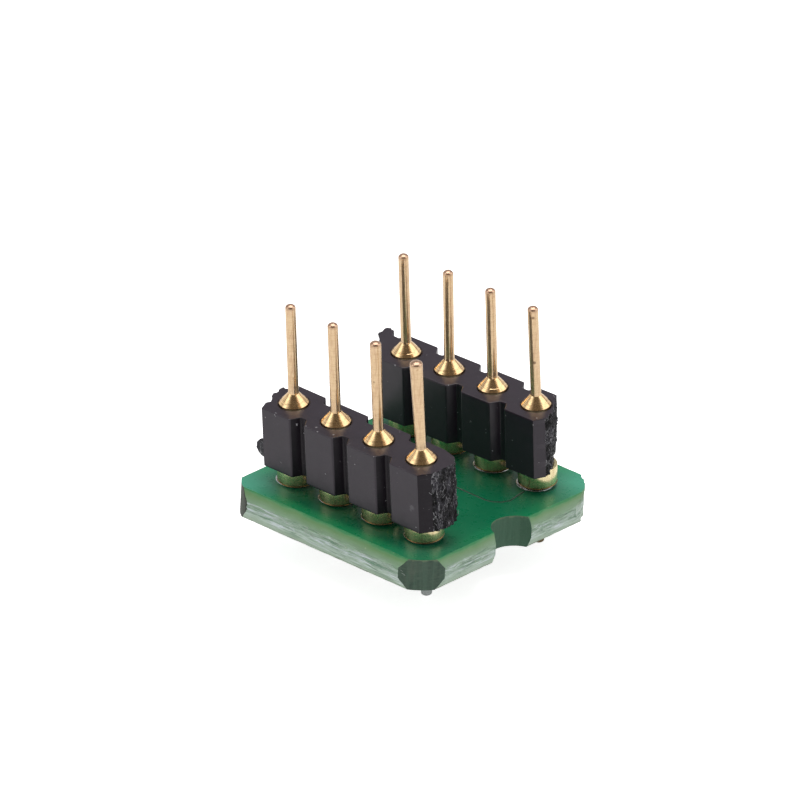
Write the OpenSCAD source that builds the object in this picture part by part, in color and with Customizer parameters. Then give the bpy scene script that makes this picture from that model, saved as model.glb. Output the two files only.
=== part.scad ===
// Single-chip audio amplifier module on an 8-pin dual in-line carrier.
// It lies on the back of its chip, with the eight contact pins pointing up.
// X runs along the pin rows, +Z is up, and the origin is on the table,
// under the middle of the pin grid. All sizes are in millimetres.

/* [Pin grid] */
// Distance between neighbouring pins of a row
pitch = 2.54; // [2:0.01:3]
// Distance between the two rows
row_gap = 7.62; // [7:0.01:9]
// Lean of the front header and its pins towards -Y, in degrees
front_lean = 7.1; // [0:0.1:8]
// Lean of the rear header and its pins towards -Y, in degrees
rear_lean = 5.6; // [0:0.1:8]
// Turn of the front header about +Z, in degrees
front_turn = -0.5; // [-2:0.1:2]
// Turn of the rear header about +Z, in degrees
rear_turn = 0.8; // [-2:0.1:2]
// Tip of the front header about +Y, in degrees
front_tip = -0.1; // [-1:0.1:1]
// Tip of the rear header about +Y, in degrees
rear_tip = -0.6; // [-1:0.1:1]
// Extra lean of the free tails of pins 1 to 8, in degrees
tail_bend = [1.3, -0.4, -0.4, -0.6, 0.5, -0.6, 0.4, 1.4]; // [-3:0.1:3]

/* [Circuit board] */
// Length of the board along the rows
board_x = 11.4; // [11:0.1:13]
// Width of the board across the rows
board_y = 12.1; // [11.4:0.1:14]
// Thickness of the laminate
board_t = 1.5; // [1:0.1:1.6]
// How far the broken web stands out between the two score cuts
web_proud = 0.2; // [0:0.05:0.3]
// Height of the broken web
web_h = 0.5; // [0.3:0.05:0.8]
// Leg of the cut at each corner
corner_cut = 1; // [0.5:0.1:1.3]
// Radius of the milled notch at the pin 1 end
notch_r = 1.24; // [0.8:0.02:1.5]
// Depth of the notch from the edge of the face
notch_depth = 0.8; // [0.4:0.1:1.1]
// How far the notch lies off the middle of the edge, towards the front
notch_shift = 0.12; // [0:0.01:0.3]
// Radius of the plated holes
hole_r = 0.5; // [0.47:0.01:0.55]
// Radius of the tinned ring around each hole, on the header side
pad_r = 0.98; // [0.95:0.01:1.15]
// Radius of the tinned ring around each hole, on the chip side
pad_small_r = 0.72; // [0.65:0.01:0.75]
// Thickness of the tinned copper
pad_t = 0.04; // [0.02:0.01:0.06]

/* [Pin headers] */
// Height of the plastic strip
strip_h = 3.02; // [2.5:0.01:3.5]
// Width of the strip across the flats
strip_w = 2.44; // [2.2:0.01:2.54]
// Length of the flat beside each pin
flat_l = 1.66; // [1.5:0.01:1.8]
// Width of the neck between two pins
neck_w = 1.54; // [1.4:0.01:1.8]
// Length of the neck between two pins
neck_l = 0.33; // [0.2:0.01:0.5]
// Widening of each hole at the top face
hole_flare = 0.09; // [0:0.01:0.12]

/* [Turned pins] */
// Radius of the flange that stands on the board
flange_r = 0.9; // [0.8:0.01:0.93]
// Height of the flange
flange_h = 0.88; // [0.8:0.01:1.2]
// Radius of the body inside the plastic
pin_body_r = 0.67; // [0.6:0.01:0.69]
// Height of the body above the top of the plastic
body_proud = 0.08; // [0:0.01:0.2]
// Height of the cone between the body and the free tail
cone_h = 0.48; // [0.3:0.01:0.6]
// Radius of the free tail
tail_r = 0.237; // [0.2:0.001:0.25]
// Length of the free tail, from the wide end of the cone
tail_l = 4.98; // [3:0.01:5.5]
// Radius of the solder tail
stub_r = 0.25; // [0.22:0.01:0.26]
// Length of the solder tail, from the flange
stub_l = 3.18; // [2.2:0.01:3.2]

/* [Chip] */
// Length of the moulded body
chip_x = 4.9; // [4.7:0.05:5.1]
// Width of the moulded body
chip_y = 3.9; // [3.7:0.05:4]
// Thickness of the moulded body
chip_t = 1.45; // [1.35:0.01:1.5]
// Gap between the body and the copper
chip_gap = 0.15; // [0.12:0.01:0.25]
// Distance between neighbouring leads
lead_pitch = 1.27; // [1.2:0.01:1.3]
// Width across the tips of the leads
lead_span = 5.9; // [5.8:0.05:6]
// Width of a lead
lead_w = 0.41; // [0.35:0.01:0.5]
// Thickness of the lead frame
lead_t = 0.2; // [0.15:0.01:0.22]
// Radius of a bond wire
wire_r = 0.02; // [0.015:0.005:0.025]

/* [Hidden] */
$fn = 64;
eps = 0.01;
count = 4;
last = (count - 1) / 2;

// Levels, from the table up
board_z = chip_t + chip_gap + pad_t;
top_z = board_z + board_t;
seat_z = top_z + pad_t;

// Levels along a pin, from the underside of its flange
plastic_z = flange_h;
ring_z = flange_h + strip_h + body_proud;
flange_edge = 0.12;

// Pins 1 to 4 are the front row, from +X to -X, and 5 to 8 the rear row, from -X to +X
function pin_x(n) = n <= count ? (last - (n - 1)) * pitch : (n - count - 1 - last) * pitch;
function lead_x(n) = n <= count ? (last - (n - 1)) * lead_pitch : (n - count - 1 - last) * lead_pitch;
function side(n) = n <= count ? -1 : 1;
function lean(s) = s < 0 ? front_lean : rear_lean;
function turn(s) = s < 0 ? front_turn : rear_turn;
function tip(s) = s < 0 ? front_tip : rear_tip;
// The lowest flange of a leaning row touches the copper with its rim
function lift(s) = sin(lean(s)) * (flange_r - flange_edge) + sin(abs(tip(s))) * last * pitch;

// Places a header's own frame on the board: s is -1 for the front row, 1 for the rear
module seat(s) {
    translate([0, s * row_gap / 2, seat_z + lift(s)]) rotate([lean(s), tip(s), turn(s)]) children();
}

// Turns the chip's own frame over, so that z = 0 is the copper on the underside
module under() {
    translate([0, 0, board_z - pad_t]) rotate([180, 0, 0]) children();
}

// ---- Circuit board ----

// Section of the scored edges, for a face w wide, with z = 0 at the underside
module scored_section(w) {
    z1 = (board_t - web_h) / 2;
    z2 = (board_t + web_h) / 2;
    polygon([
        [-w / 2, 0], [w / 2, 0], [w / 2 + web_proud, z1], [w / 2 + web_proud, z2],
        [w / 2, board_t], [-w / 2, board_t], [-w / 2 - web_proud, z2], [-w / 2 - web_proud, z1]]);
}

module laminate() {
    big = board_x + board_y;
    cut = (board_x + board_y) / 2 - corner_cut;
    intersection() {
        rotate([90, 0, 0]) linear_extrude(height = big, center = true) scored_section(board_x);
        rotate([90, 0, 90]) linear_extrude(height = big, center = true) scored_section(board_y);
        linear_extrude(height = board_t) polygon([[cut, 0], [0, cut], [-cut, 0], [0, -cut]]);
    }
}

module pcb() {
    color("seagreen") translate([0, 0, board_z]) difference() {
        union() {
            laminate();
            for (n = [1 : 8]) translate([pin_x(n), side(n) * row_gap / 2, 0]) {
                translate([0, 0, -pad_t]) cylinder(r = pad_small_r, h = board_t);
                translate([0, 0, pad_t]) cylinder(r = pad_r, h = board_t);
            }
            for (n = [1 : 8])
                translate([lead_x(n), side(n) * (lead_span / 2 - 0.35), board_t / 4 - pad_t])
                    cube([lead_w + 0.1, 1, board_t / 2], center = true);
        }
        translate([board_x / 2 - notch_depth + notch_r, -notch_shift, -1]) cylinder(r = notch_r, h = board_t + 2);
        for (n = [1 : 8])
            translate([pin_x(n), side(n) * row_gap / 2, -1]) cylinder(r = hole_r, h = board_t + 2);
    }
}

// ---- Headers ----

module strip_unit() {
    f = flat_l / 2;
    w = strip_w / 2;
    e = (pitch - neck_l) / 2;
    k = neck_w / 2;
    polygon([[-e, -k], [-f, -w], [f, -w], [e, -k], [e, k], [f, w], [-f, w], [-e, k]]);
}

module strip_outline() {
    for (i = [-last : last]) translate([i * pitch, 0]) strip_unit();
    square([2 * last * pitch, neck_w], center = true);
}

// Necks of both headers were snapped: what is left of them, as outlines
front_left_stub = [[-4.6, 0.76], [-5.15, 0.76], [-5.05, 0.35], [-5.12, 0], [-4.8, -0.4], [-4.78, -0.76], [-4.6, -0.76]];
front_right_stub = [[4.6, -0.76], [4.95, -0.76], [5, -0.2], [5.25, 0.3], [5.2, 0.76], [4.6, 0.76]];
rear_left_stub = [
    [-4.6, 0.76], [-5.24, 0.76], [-5.52, 1.22], [-6, 1.22], [-6, 0.6],
    [-5.8, 0.15], [-5.35, -0.2], [-5.2, -0.76], [-4.6, -0.76]];
rear_right_stub = [[4.6, -0.76], [4.95, -0.76], [4.9, -0.1], [4.6, 0.3]];
rear_right_loss = [[4.98, -0.15], [6, -0.15], [6, 1.3], [3.95, 1.3], [4.38, 0.64], [4.7, 0.2]];

module strip(s) {
    color("#3a3840") seat(s) translate([0, 0, plastic_z]) difference() {
        linear_extrude(height = strip_h) difference() {
            union() {
                strip_outline();
                polygon(s < 0 ? front_left_stub : rear_left_stub);
                polygon(s < 0 ? front_right_stub : rear_right_stub);
            }
            if (s > 0) polygon(rear_right_loss);
        }
        for (i = [-last : last]) translate([i * pitch, 0, 0]) {
            translate([0, 0, -1]) cylinder(r = pin_body_r, h = strip_h + 2);
            translate([0, 0, strip_h - hole_flare])
                cylinder(r1 = pin_body_r, r2 = pin_body_r + 2 * hole_flare, h = 2 * hole_flare);
        }
    }
}

module header_strip_front() strip(-1);
module header_strip_rear() strip(1);

// ---- Turned pins ----

module pin_profile() {
    c = 0.06;
    polygon([
        [0, -stub_l], [stub_r - c, -stub_l], [stub_r, -stub_l + 2 * c], [stub_r, 0],
        [flange_r - flange_edge, 0], [flange_r, flange_edge], [flange_r, flange_h - c],
        [flange_r - c, flange_h], [pin_body_r, flange_h], [pin_body_r, ring_z],
        [tail_r, ring_z + cone_h], [0, ring_z + cone_h]]);
}

module free_tail() {
    c = 0.08;
    rotate_extrude() polygon([
        [0, 0], [tail_r, 0], [tail_r, tail_l - 1.5 * c], [tail_r - c, tail_l], [0, tail_l]]);
}

module pin_at(n) {
    seat(side(n)) translate([pin_x(n), 0, 0]) {
        rotate_extrude() pin_profile();
        translate([0, 0, ring_z]) rotate([tail_bend[n - 1], 0, 0]) free_tail();
    }
}

module pin(n) color("goldenrod") pin_at(n);

// Solder fills the plated hole and climbs the solder tail in a hollow cone
fillet_r = 0.68;
fillet_h = 0.7;
function fillet_point(a) = [
    stub_r + 0.03 + (fillet_r - stub_r - 0.03) * (1 - cos(a)),
    -fillet_h + fillet_h * sin(a)];

module pin_solder(n) {
    color("silver") difference() {
        translate([pin_x(n), side(n) * row_gap / 2, board_z]) union() {
            translate([0, 0, -pad_t]) cylinder(r = hole_r, h = board_t + 2 * pad_t);
            translate([0, 0, -pad_t]) rotate_extrude()
                polygon(concat([[0, 0], [0, -fillet_h]], [for (a = [0 : 15 : 90]) fillet_point(a)]));
        }
        pin_at(n);
    }
}

// ---- Chip, in its own frame with the copper at z = 0 ----

frame_z = chip_gap + 0.55;
paddle = [2.5, 2, lead_t];
die_size = [1.7, 1.4, 0.28];
lead_in = 1.35;

module lead_section() {
    knee = lead_span / 2 - 0.75;
    slope = 0.2;
    polygon([
        [lead_in, frame_z], [knee, frame_z], [knee + slope, 0], [lead_span / 2, 0],
        [lead_span / 2, lead_t], [knee + slope + lead_t * 0.85, lead_t],
        [knee + lead_t * 0.85, frame_z + lead_t], [lead_in, frame_z + lead_t]]);
}

// In this frame the front leads, 1 to 4, are on +Y
module lead_at(n) {
    translate([lead_x(n), 0, 0]) rotate([90, 0, side(n) < 0 ? 90 : -90])
        linear_extrude(height = lead_w, center = true) lead_section();
}

module paddle_at() {
    translate([-paddle[0] / 2, -paddle[1] / 2, frame_z]) cube(paddle);
}

module die_at() {
    translate([-die_size[0] / 2, -die_size[1] / 2, frame_z + lead_t]) cube(die_size);
}

module rod(a, b, r) {
    d = b - a;
    translate(a) rotate([0, acos(d[2] / norm(d)), atan2(d[1], d[0])]) cylinder(r = r, h = norm(d), $fn = 16);
}

// A bond wire rises from the die, runs outwards and comes down on its lead
module wire_at(n) {
    s = -side(n);
    die_top = frame_z + lead_t + die_size[2];
    loop_z = die_top + 0.12;
    a = [lead_x(n) * 0.38, s * (die_size[1] / 2 - 0.12), die_top];
    b = [a[0], a[1], loop_z];
    c = [lead_x(n), s * (lead_in + 0.15), frame_z + lead_t];
    rod(a, b, wire_r);
    translate(b) sphere(r = wire_r, $fn = 16);
    rod(b, c, wire_r);
}

module chip_shape() {
    draft = 0.12;
    waist = frame_z + lead_t / 2;
    top = chip_gap + chip_t;
    intersection() {
        rotate([90, 0, 0]) linear_extrude(height = 10, center = true) polygon([
            [-chip_x / 2 + draft, chip_gap], [chip_x / 2 - draft, chip_gap], [chip_x / 2, waist],
            [chip_x / 2 - draft, top], [-chip_x / 2 + draft, top], [-chip_x / 2, waist]]);
        rotate([90, 0, 90]) linear_extrude(height = 10, center = true) polygon([
            [-chip_y / 2 + draft, chip_gap], [chip_y / 2 - draft, chip_gap], [chip_y / 2, waist],
            [chip_y / 2 - draft, top], [-chip_y / 2 + draft, top], [-chip_y / 2, waist]]);
    }
}

module chip_body() {
    color("#26262a") under() difference() {
        chip_shape();
        translate([lead_x(1), 1.2, chip_gap + chip_t - 0.08]) cylinder(r = 0.28, h = 1);
        paddle_at();
        die_at();
        for (n = [1 : 8]) { lead_at(n); wire_at(n); }
    }
}

module die_paddle() color("peru") under() paddle_at();
module die() color("slategray") under() die_at();
module bond_wire(n) color("gold") under() difference() { wire_at(n); die_at(); lead_at(n); }
module chip_lead(n) color("silver") under() lead_at(n);

// Solder wets the foot of a lead at its toe and along both sides
module lead_solder(n) {
    s = -side(n);
    toe = lead_span / 2;
    w = lead_w / 2;
    color("lightgray") under() difference() {
        translate([lead_x(n), 0, 0]) intersection() {
            rotate([90, 0, s > 0 ? 90 : -90]) linear_extrude(height = lead_w + 0.1, center = true)
                polygon([[toe - 0.55, 0], [toe + 0.15, 0], [toe, lead_t * 0.9], [toe - 0.5, lead_t * 0.6]]);
            rotate([90, 0, 0]) linear_extrude(height = 10, center = true)
                polygon([[-w - 0.05, 0], [w + 0.05, 0], [w, lead_t], [-w, lead_t]]);
        }
        lead_at(n);
    }
}

pcb();
header_strip_front();
header_strip_rear();
chip_body();
die_paddle();
die();
for (n = [1 : 8]) {
    pin(n);
    pin_solder(n);
    chip_lead(n);
    lead_solder(n);
    bond_wire(n);
}
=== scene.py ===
"""Amplifier chip module for a dual in-line socket: the finished surfaces, laid out as an add-on."""
import math
from types import SimpleNamespace

import bpy
import numpy as np
from bpy.props import FloatProperty, FloatVectorProperty, IntProperty, PointerProperty
from mathutils import Matrix, Vector, geometry, noise


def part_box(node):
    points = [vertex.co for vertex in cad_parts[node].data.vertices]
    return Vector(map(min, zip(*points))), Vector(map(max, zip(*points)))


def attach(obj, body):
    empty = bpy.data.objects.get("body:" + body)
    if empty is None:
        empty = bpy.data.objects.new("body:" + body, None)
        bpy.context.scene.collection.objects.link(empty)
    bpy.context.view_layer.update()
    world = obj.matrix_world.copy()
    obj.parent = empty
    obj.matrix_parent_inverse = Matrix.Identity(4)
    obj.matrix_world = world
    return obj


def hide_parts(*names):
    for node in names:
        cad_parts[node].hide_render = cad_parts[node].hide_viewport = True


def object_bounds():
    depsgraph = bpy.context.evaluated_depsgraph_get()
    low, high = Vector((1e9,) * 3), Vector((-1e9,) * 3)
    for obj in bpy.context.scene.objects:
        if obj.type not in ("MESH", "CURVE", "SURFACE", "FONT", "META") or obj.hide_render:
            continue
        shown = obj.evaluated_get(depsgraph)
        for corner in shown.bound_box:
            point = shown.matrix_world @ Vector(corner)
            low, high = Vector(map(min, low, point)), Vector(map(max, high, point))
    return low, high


bl_info = {
    "name": "Amplifier Chip Module",
    "version": (1, 0, 0),
    "blender": (4, 5, 0),
    "location": "3D View > Sidebar > Amplifier Chip",
    "description": "Builds a small amplifier board with two turned-pin headers, lying on its chip",
    "category": "Add Mesh",
}

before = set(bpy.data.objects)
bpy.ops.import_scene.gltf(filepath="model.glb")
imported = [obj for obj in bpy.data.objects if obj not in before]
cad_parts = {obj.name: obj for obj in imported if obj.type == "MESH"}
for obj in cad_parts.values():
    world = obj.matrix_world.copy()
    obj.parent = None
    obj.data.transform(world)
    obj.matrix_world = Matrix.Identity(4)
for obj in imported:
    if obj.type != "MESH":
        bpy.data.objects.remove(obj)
CAD_BOX = [list(corner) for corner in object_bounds()]
MM = 0.001
ROOT = "root"
FRONT, REAR = -1, 1
PINS = range(1, 9)


# ---- Settings ----

def length(millimetres, description, name=""):
    """A length that the user may change, shown in the scene's units."""
    return FloatProperty(name=name, description=description, default=millimetres * MM,
                         min=0.0, precision=6, unit="LENGTH")


def angle(degrees, description, name=""):
    """An angle that the user may change."""
    return FloatProperty(name=name, description=description, default=math.radians(degrees),
                         precision=3, subtype="ANGLE", unit="ROTATION")


def tint(color, description, name=""):
    """A surface colour that the user may change."""
    return FloatVectorProperty(name=name, description=description, default=color, size=3,
                               min=0.0, max=1.0, subtype="COLOR")


def level(value, description):
    """A brightness or a share that the user may change."""
    return FloatProperty(description=description, default=value, min=0.0)


def labelled(group):
    """Gives the settings of a group the names of their keys, where they have none."""
    for key, setting in group.__annotations__.items():
        setting.keywords["name"] = setting.keywords.get("name") or key.replace("_", " ").title()
    return group


@labelled
class BoardSettings(bpy.types.PropertyGroup):
    """Sizes and colours of the circuit board."""
    length_x: length(11.4, "Length of each face along the pin rows", "Length")
    width_y: length(12.1, "Width of each face across the pin rows", "Width")
    web_proud: length(0.2, "How far the snapped web stands out of the faces' edges")
    web_height: length(0.5, "Height of the snapped web between the two score cuts")
    corner_cut: length(1.0, "Leg of the milled cut at each corner")
    corner_bulge: length(0.12, "How far the milled corners bulge")
    notch_radius: length(1.24, "Radius of the milled notch")
    notch_depth: length(0.8, "Depth of the notch from the face's edge")
    notch_shift: length(0.12, "How far the notch lies off the middle, towards the front")
    hole_radius: length(0.5, "Radius of the plated holes")
    pad_thickness: length(0.04, "Thickness of the tinned copper")
    ring_radius: length(0.85, "Radius of the tinned rings on the header side")
    small_ring_radius: length(0.72, "Radius of the tinned rings on the chip side")
    # The dark line beside each track is painted shade, the shadow of the track's edge
    track_width: length(0.10, "Width of the dark line beside each copper track")
    mask: tint((0.0036, 0.1535, 0.0654), "Green solder mask")
    milled: tint((0.050, 0.098, 0.066), "Milled laminate")


@labelled
class HeaderSettings(bpy.types.PropertyGroup):
    """Sizes and colours of the two plastic header strips."""
    pitch: length(2.54, "Distance between neighbouring pins")
    row_gap: length(7.62, "Distance between the two rows")
    height: length(3.02, "Height of the plastic")
    width: length(2.44, "Width across the flats")
    flat: length(1.66, "Length of the flat beside each pin")
    neck_width: length(1.54, "Width of the neck between two pins")
    neck_length: length(0.33, "Length of the neck between two pins")
    flare: length(0.085, "Widening of the holes at the top", "Hole Flare")
    edge: length(0.035, "Radius of the moulded edges")
    front_lean: angle(7.1, "Lean of the front header towards the front")
    rear_lean: angle(5.6, "Lean of the rear header towards the front")
    front_turn: angle(-0.5, "Turn of the front header about the vertical")
    rear_turn: angle(0.8, "Turn of the rear header about the vertical")
    front_tip: angle(-0.1, "Tip of the front header along its row")
    rear_tip: angle(-0.6, "Tip of the rear header along its row")
    plastic: tint((0.0212, 0.0128, 0.0232), "Black moulded plastic")
    snapped: tint((0.010, 0.0095, 0.0115), "Black plastic where it was snapped")
    scratch: tint((0.52, 0.51, 0.54), "Whitened scratches and whiskers")


@labelled
class PinSettings(bpy.types.PropertyGroup):
    """Sizes and colours of the turned pins."""
    flange_radius: length(0.9, "Radius of the flange on the board")
    flange_height: length(0.88, "Height of the flange")
    body_radius: length(0.67, "Radius of the body in the plastic")
    body_proud: length(0.08, "Height of the body above the plastic")
    cone_height: length(0.48, "Height of the cone")
    tail_radius: length(0.237, "Radius of the free tail")
    tail_length: length(4.98, "Length of the free tail from the cone's wide end")
    stub_radius: length(0.25, "Radius of the solder tail", "Solder Tail Radius")
    stub_length: length(3.18, "Length of the solder tail from the flange", "Solder Tail Length")
    segments: IntProperty(name="Segments", description="Sides of each turned surface", default=64, min=12)
    gold: tint((0.88, 0.645, 0.395), "Gold plating of the free tails")
    cone_gold: tint((0.96, 0.67, 0.35), "Gold plating of the cones")
    flange_gold: tint((0.97, 0.86, 0.50), "Gold plating of the flanges")
    tarnish: tint((0.42, 0.22, 0.09), "Darker specks in the plating")
    tin: tint((0.70, 0.71, 0.72), "Solder and tinned copper")


@labelled
class ChipSettings(bpy.types.PropertyGroup):
    """Sizes and colours of the chip."""
    length_x: length(4.9, "Length of the moulded body", "Length")
    width_y: length(3.9, "Width of the moulded body", "Width")
    thickness: length(1.45, "Thickness of the moulded body")
    gap: length(0.15, "Gap between the body and the copper")
    lead_pitch: length(1.27, "Distance between neighbouring leads")
    lead_span: length(5.9, "Width across the tips of the leads")
    lead_width: length(0.41, "Width of a lead")
    lead_thickness: length(0.2, "Thickness of a lead")
    mould: tint((0.018, 0.018, 0.019), "Moulded body", "Mould Compound")
    copper: tint((0.72, 0.36, 0.20), "Bare copper inside the body")
    silicon: tint((0.20, 0.21, 0.26), "Polished silicon")


@labelled
class StageSettings(bpy.types.PropertyGroup):
    """The camera, the lights and the floor."""
    azimuth: angle(39.88, "Camera's turn round the module")
    elevation: angle(25.85, "Camera's height above the horizon")
    roll: angle(3.21, "Camera's tilt to one side")
    distance: length(600.0, "Camera's distance from its target")
    focal: FloatProperty(name="Focal Length", description="Focal length in millimetres",
                         default=603.9, min=1.0, unit="CAMERA")
    target: FloatVectorProperty(name="Target", description="Point that the camera looks at",
                                default=(-1.743 * MM, 0.607 * MM, 6.408 * MM), size=3,
                                subtype="XYZ", unit="LENGTH", precision=6)
    walls: level(0.42, "Brightness of the room")
    ceiling: level(0.4, "Brightness of the ceiling in reflections")
    backdrop: level(0.95, "Brightness of the walls in reflections")
    soft_boxes: level(1.7, "Brightness of the soft boxes at both sides")
    camera_side: level(0.27, "Share of the light left behind the camera")
    top_light: FloatProperty(description="Power of the soft light overhead",
                             default=0.85, min=0.0, unit="POWER")
    floor_glow: level(0.85, "Brightness added to the floor's own colour")
    floor_shine: level(0.22, "The same, in reflections")
    floor: tint((0.86, 0.855, 0.86), "Pale floor")


def in_mm(group):
    """All values of a settings group, with its lengths in millimetres."""
    values = {}
    for key, prop in group.bl_rna.properties.items():
        if key in ("rna_type", "name"):
            continue
        value = getattr(group, key)
        if prop.type == "FLOAT" and prop.unit == "LENGTH":
            value = [v / MM for v in value] if prop.is_array else value / MM
        elif prop.type == "FLOAT" and prop.is_array:
            value = tuple(value)
        values[key] = value
    return SimpleNamespace(**values)


def settings():
    """The settings of every part of the module."""
    scene = bpy.context.scene
    return SimpleNamespace(board=in_mm(scene.amp_board), header=in_mm(scene.amp_header),
                           pin=in_mm(scene.amp_pin), chip=in_mm(scene.amp_chip),
                           stage=in_mm(scene.amp_stage))


# ---- Where things are, in millimetres ----

# How far inside a leaning flange's rim it touches the board
FLANGE_SINK = 0.12


def board_levels():
    """Heights of the board's lower and upper faces, without the tinned copper."""
    low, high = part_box("pcb")
    pad = bpy.context.scene.amp_board.pad_thickness / MM
    return low.z / MM + pad, high.z / MM - pad


def pin_side(number):
    """The row of pin 1 to 8."""
    return FRONT if number <= 4 else REAR


def pin_along(number, pitch):
    """Place of pin 1 to 8 along its row: 1 to 4 run towards -X, 5 to 8 towards +X."""
    step = number - 1 if number <= 4 else 8 - number
    return (1.5 - step) * pitch


def pin_place(number):
    """Place of a pin's hole on the board."""
    header = settings().header
    return pin_along(number, header.pitch), pin_side(number) * header.row_gap / 2


def cone_foot(further=0.0):
    """Height of a cone's wide end above the flange's underside, or of a place further up."""
    s = settings()
    return s.pin.flange_height + s.header.height + s.pin.body_proud + further


def header_matrix(side):
    """The leaning frame of a header: its z = 0 is the underside of its pins' flanges."""
    s = settings()
    row = "front" if side == FRONT else "rear"
    lean, turn, tip = (getattr(s.header, f"{row}_{key}") for key in ("lean", "turn", "tip"))
    lift = (math.sin(lean) * (s.pin.flange_radius - FLANGE_SINK)
            + math.sin(abs(tip)) * 1.5 * s.header.pitch)
    seat = board_levels()[1] + s.board.pad_thickness
    return (Matrix.Translation((0, side * s.header.row_gap / 2, seat + lift))
            @ Matrix.Rotation(turn, 4, "Z") @ Matrix.Rotation(tip, 4, "Y") @ Matrix.Rotation(lean, 4, "X"))


def chip_matrix():
    """The chip's own frame, turned over: its z = 0 is the copper on the board's underside."""
    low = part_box("pcb")[0].z / MM
    return Matrix.Translation((0, 0, low)) @ Matrix.Rotation(math.pi, 4, "X")


# ---- Node trees ----

# The turned parts' second UV coordinate is their height times this, and times the other it is
# millimetres again
UV_PER_METRE, MM_PER_UV = 100.0, 10.0
# Points nearer than this are one
WELD = 1e-7
# A fibre's bow as a share of its length, and the shortest fibre as a share of the longest
FIBRE_BOW, SHORTEST_FIBRE = 0.12, 0.3


def add(tree, kind, inputs=None, **options):
    """Adds a node. Each input is a Value to link or a constant to set, by name or by number."""
    node = tree.nodes.new(kind)
    for key, value in options.items():
        setattr(node, key, value)
    for key, value in (inputs or {}).items():
        if isinstance(value, Value):
            tree.links.new(value.socket, node.inputs[key])
        else:
            node.inputs[key].default_value = value
    return node


def result(tree, kind, inputs=None, output=0, **options):
    """What a new node gives."""
    return Value(tree, add(tree, kind, inputs, **options).outputs[output])


class Value:
    """A socket of a node tree. Arithmetic on it adds Math nodes."""

    def __init__(self, tree, socket):
        self.tree, self.socket = tree, socket

    def math(self, operation, *others):
        """A Math node's result for this value and others."""
        return result(self.tree, "ShaderNodeMath", dict(enumerate((self, *others))), operation=operation)

    def __add__(self, other):
        return self.math("ADD", other)

    def __sub__(self, other):
        return self.math("SUBTRACT", other)

    def __rsub__(self, other):
        return result(self.tree, "ShaderNodeMath", {0: other, 1: self}, operation="SUBTRACT")

    def __mul__(self, other):
        return self.math("MULTIPLY", other)

    def __truediv__(self, other):
        return self.math("DIVIDE", other)

    def __abs__(self):
        return self.math("ABSOLUTE")

    def parts(self):
        """The three parts of a vector."""
        node = add(self.tree, "ShaderNodeSeparateXYZ", {0: self})
        return [Value(self.tree, socket) for socket in node.outputs]

    def grain(self, scale=1.0, detail=3.0, rough=0.55, distortion=0.0):
        """Noise from 0 to 1 over this place."""
        return result(self.tree, "ShaderNodeTexNoise",
                      {"Vector": self, "Scale": scale, "Detail": detail, "Roughness": rough,
                       "Distortion": distortion})

    def span(self, low, high, to_low=0.0, to_high=1.0, smooth=False):
        """This value spread from one range to another, clamped."""
        return result(self.tree, "ShaderNodeMapRange",
                      {0: self, 1: low, 2: high, 3: to_low, 4: to_high},
                      interpolation_type="SMOOTHSTEP" if smooth else "LINEAR")

    def fade(self, low, high, strength):
        """A share from 0 at low to strength at high."""
        return self.span(low, high, 0.0, strength)

    def mix(self, a, b):
        """The number at this share of the way from a to b."""
        return result(self.tree, "ShaderNodeMix", {0: self, 2: a, 3: b}, data_type="FLOAT")

    def tint(self, a, b):
        """The colour at this share of the way from a to b."""
        a, b = (color if isinstance(color, Value) else (*color, 1.0) for color in (a, b))
        return result(self.tree, "ShaderNodeMix", {0: self, 6: a, 7: b}, output=2, data_type="RGBA")


def vector(tree, **parts):
    """A vector from its parts x, y and z."""
    return result(tree, "ShaderNodeCombineXYZ", {"xyz".index(key): value for key, value in parts.items()})


def geometry_tree(name, **sockets):
    """A new Geometry Nodes tree and its inputs by name, as Values."""
    tree = bpy.data.node_groups.new(name, "GeometryNodeTree")
    sockets = {"Geometry": "Geometry", **{key.replace("_", " "): kind for key, kind in sockets.items()},
               "Material": "Material"}
    for label, kind in sockets.items():
        tree.interface.new_socket(label, in_out="INPUT", socket_type="NodeSocket" + kind)
    tree.interface.new_socket("Geometry", in_out="OUTPUT", socket_type="NodeSocketGeometry")
    start = tree.nodes.new("NodeGroupInput")
    return tree, {label: Value(tree, start.outputs[label]) for label in sockets}


def close_tree(tree, shape, material):
    """Ends a tree in real geometry with its material."""
    real = result(tree, "GeometryNodeRealizeInstances", {"Geometry": shape})
    painted = result(tree, "GeometryNodeSetMaterial", {"Geometry": real, "Material": material})
    add(tree, "NodeGroupOutput", {0: painted})


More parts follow.
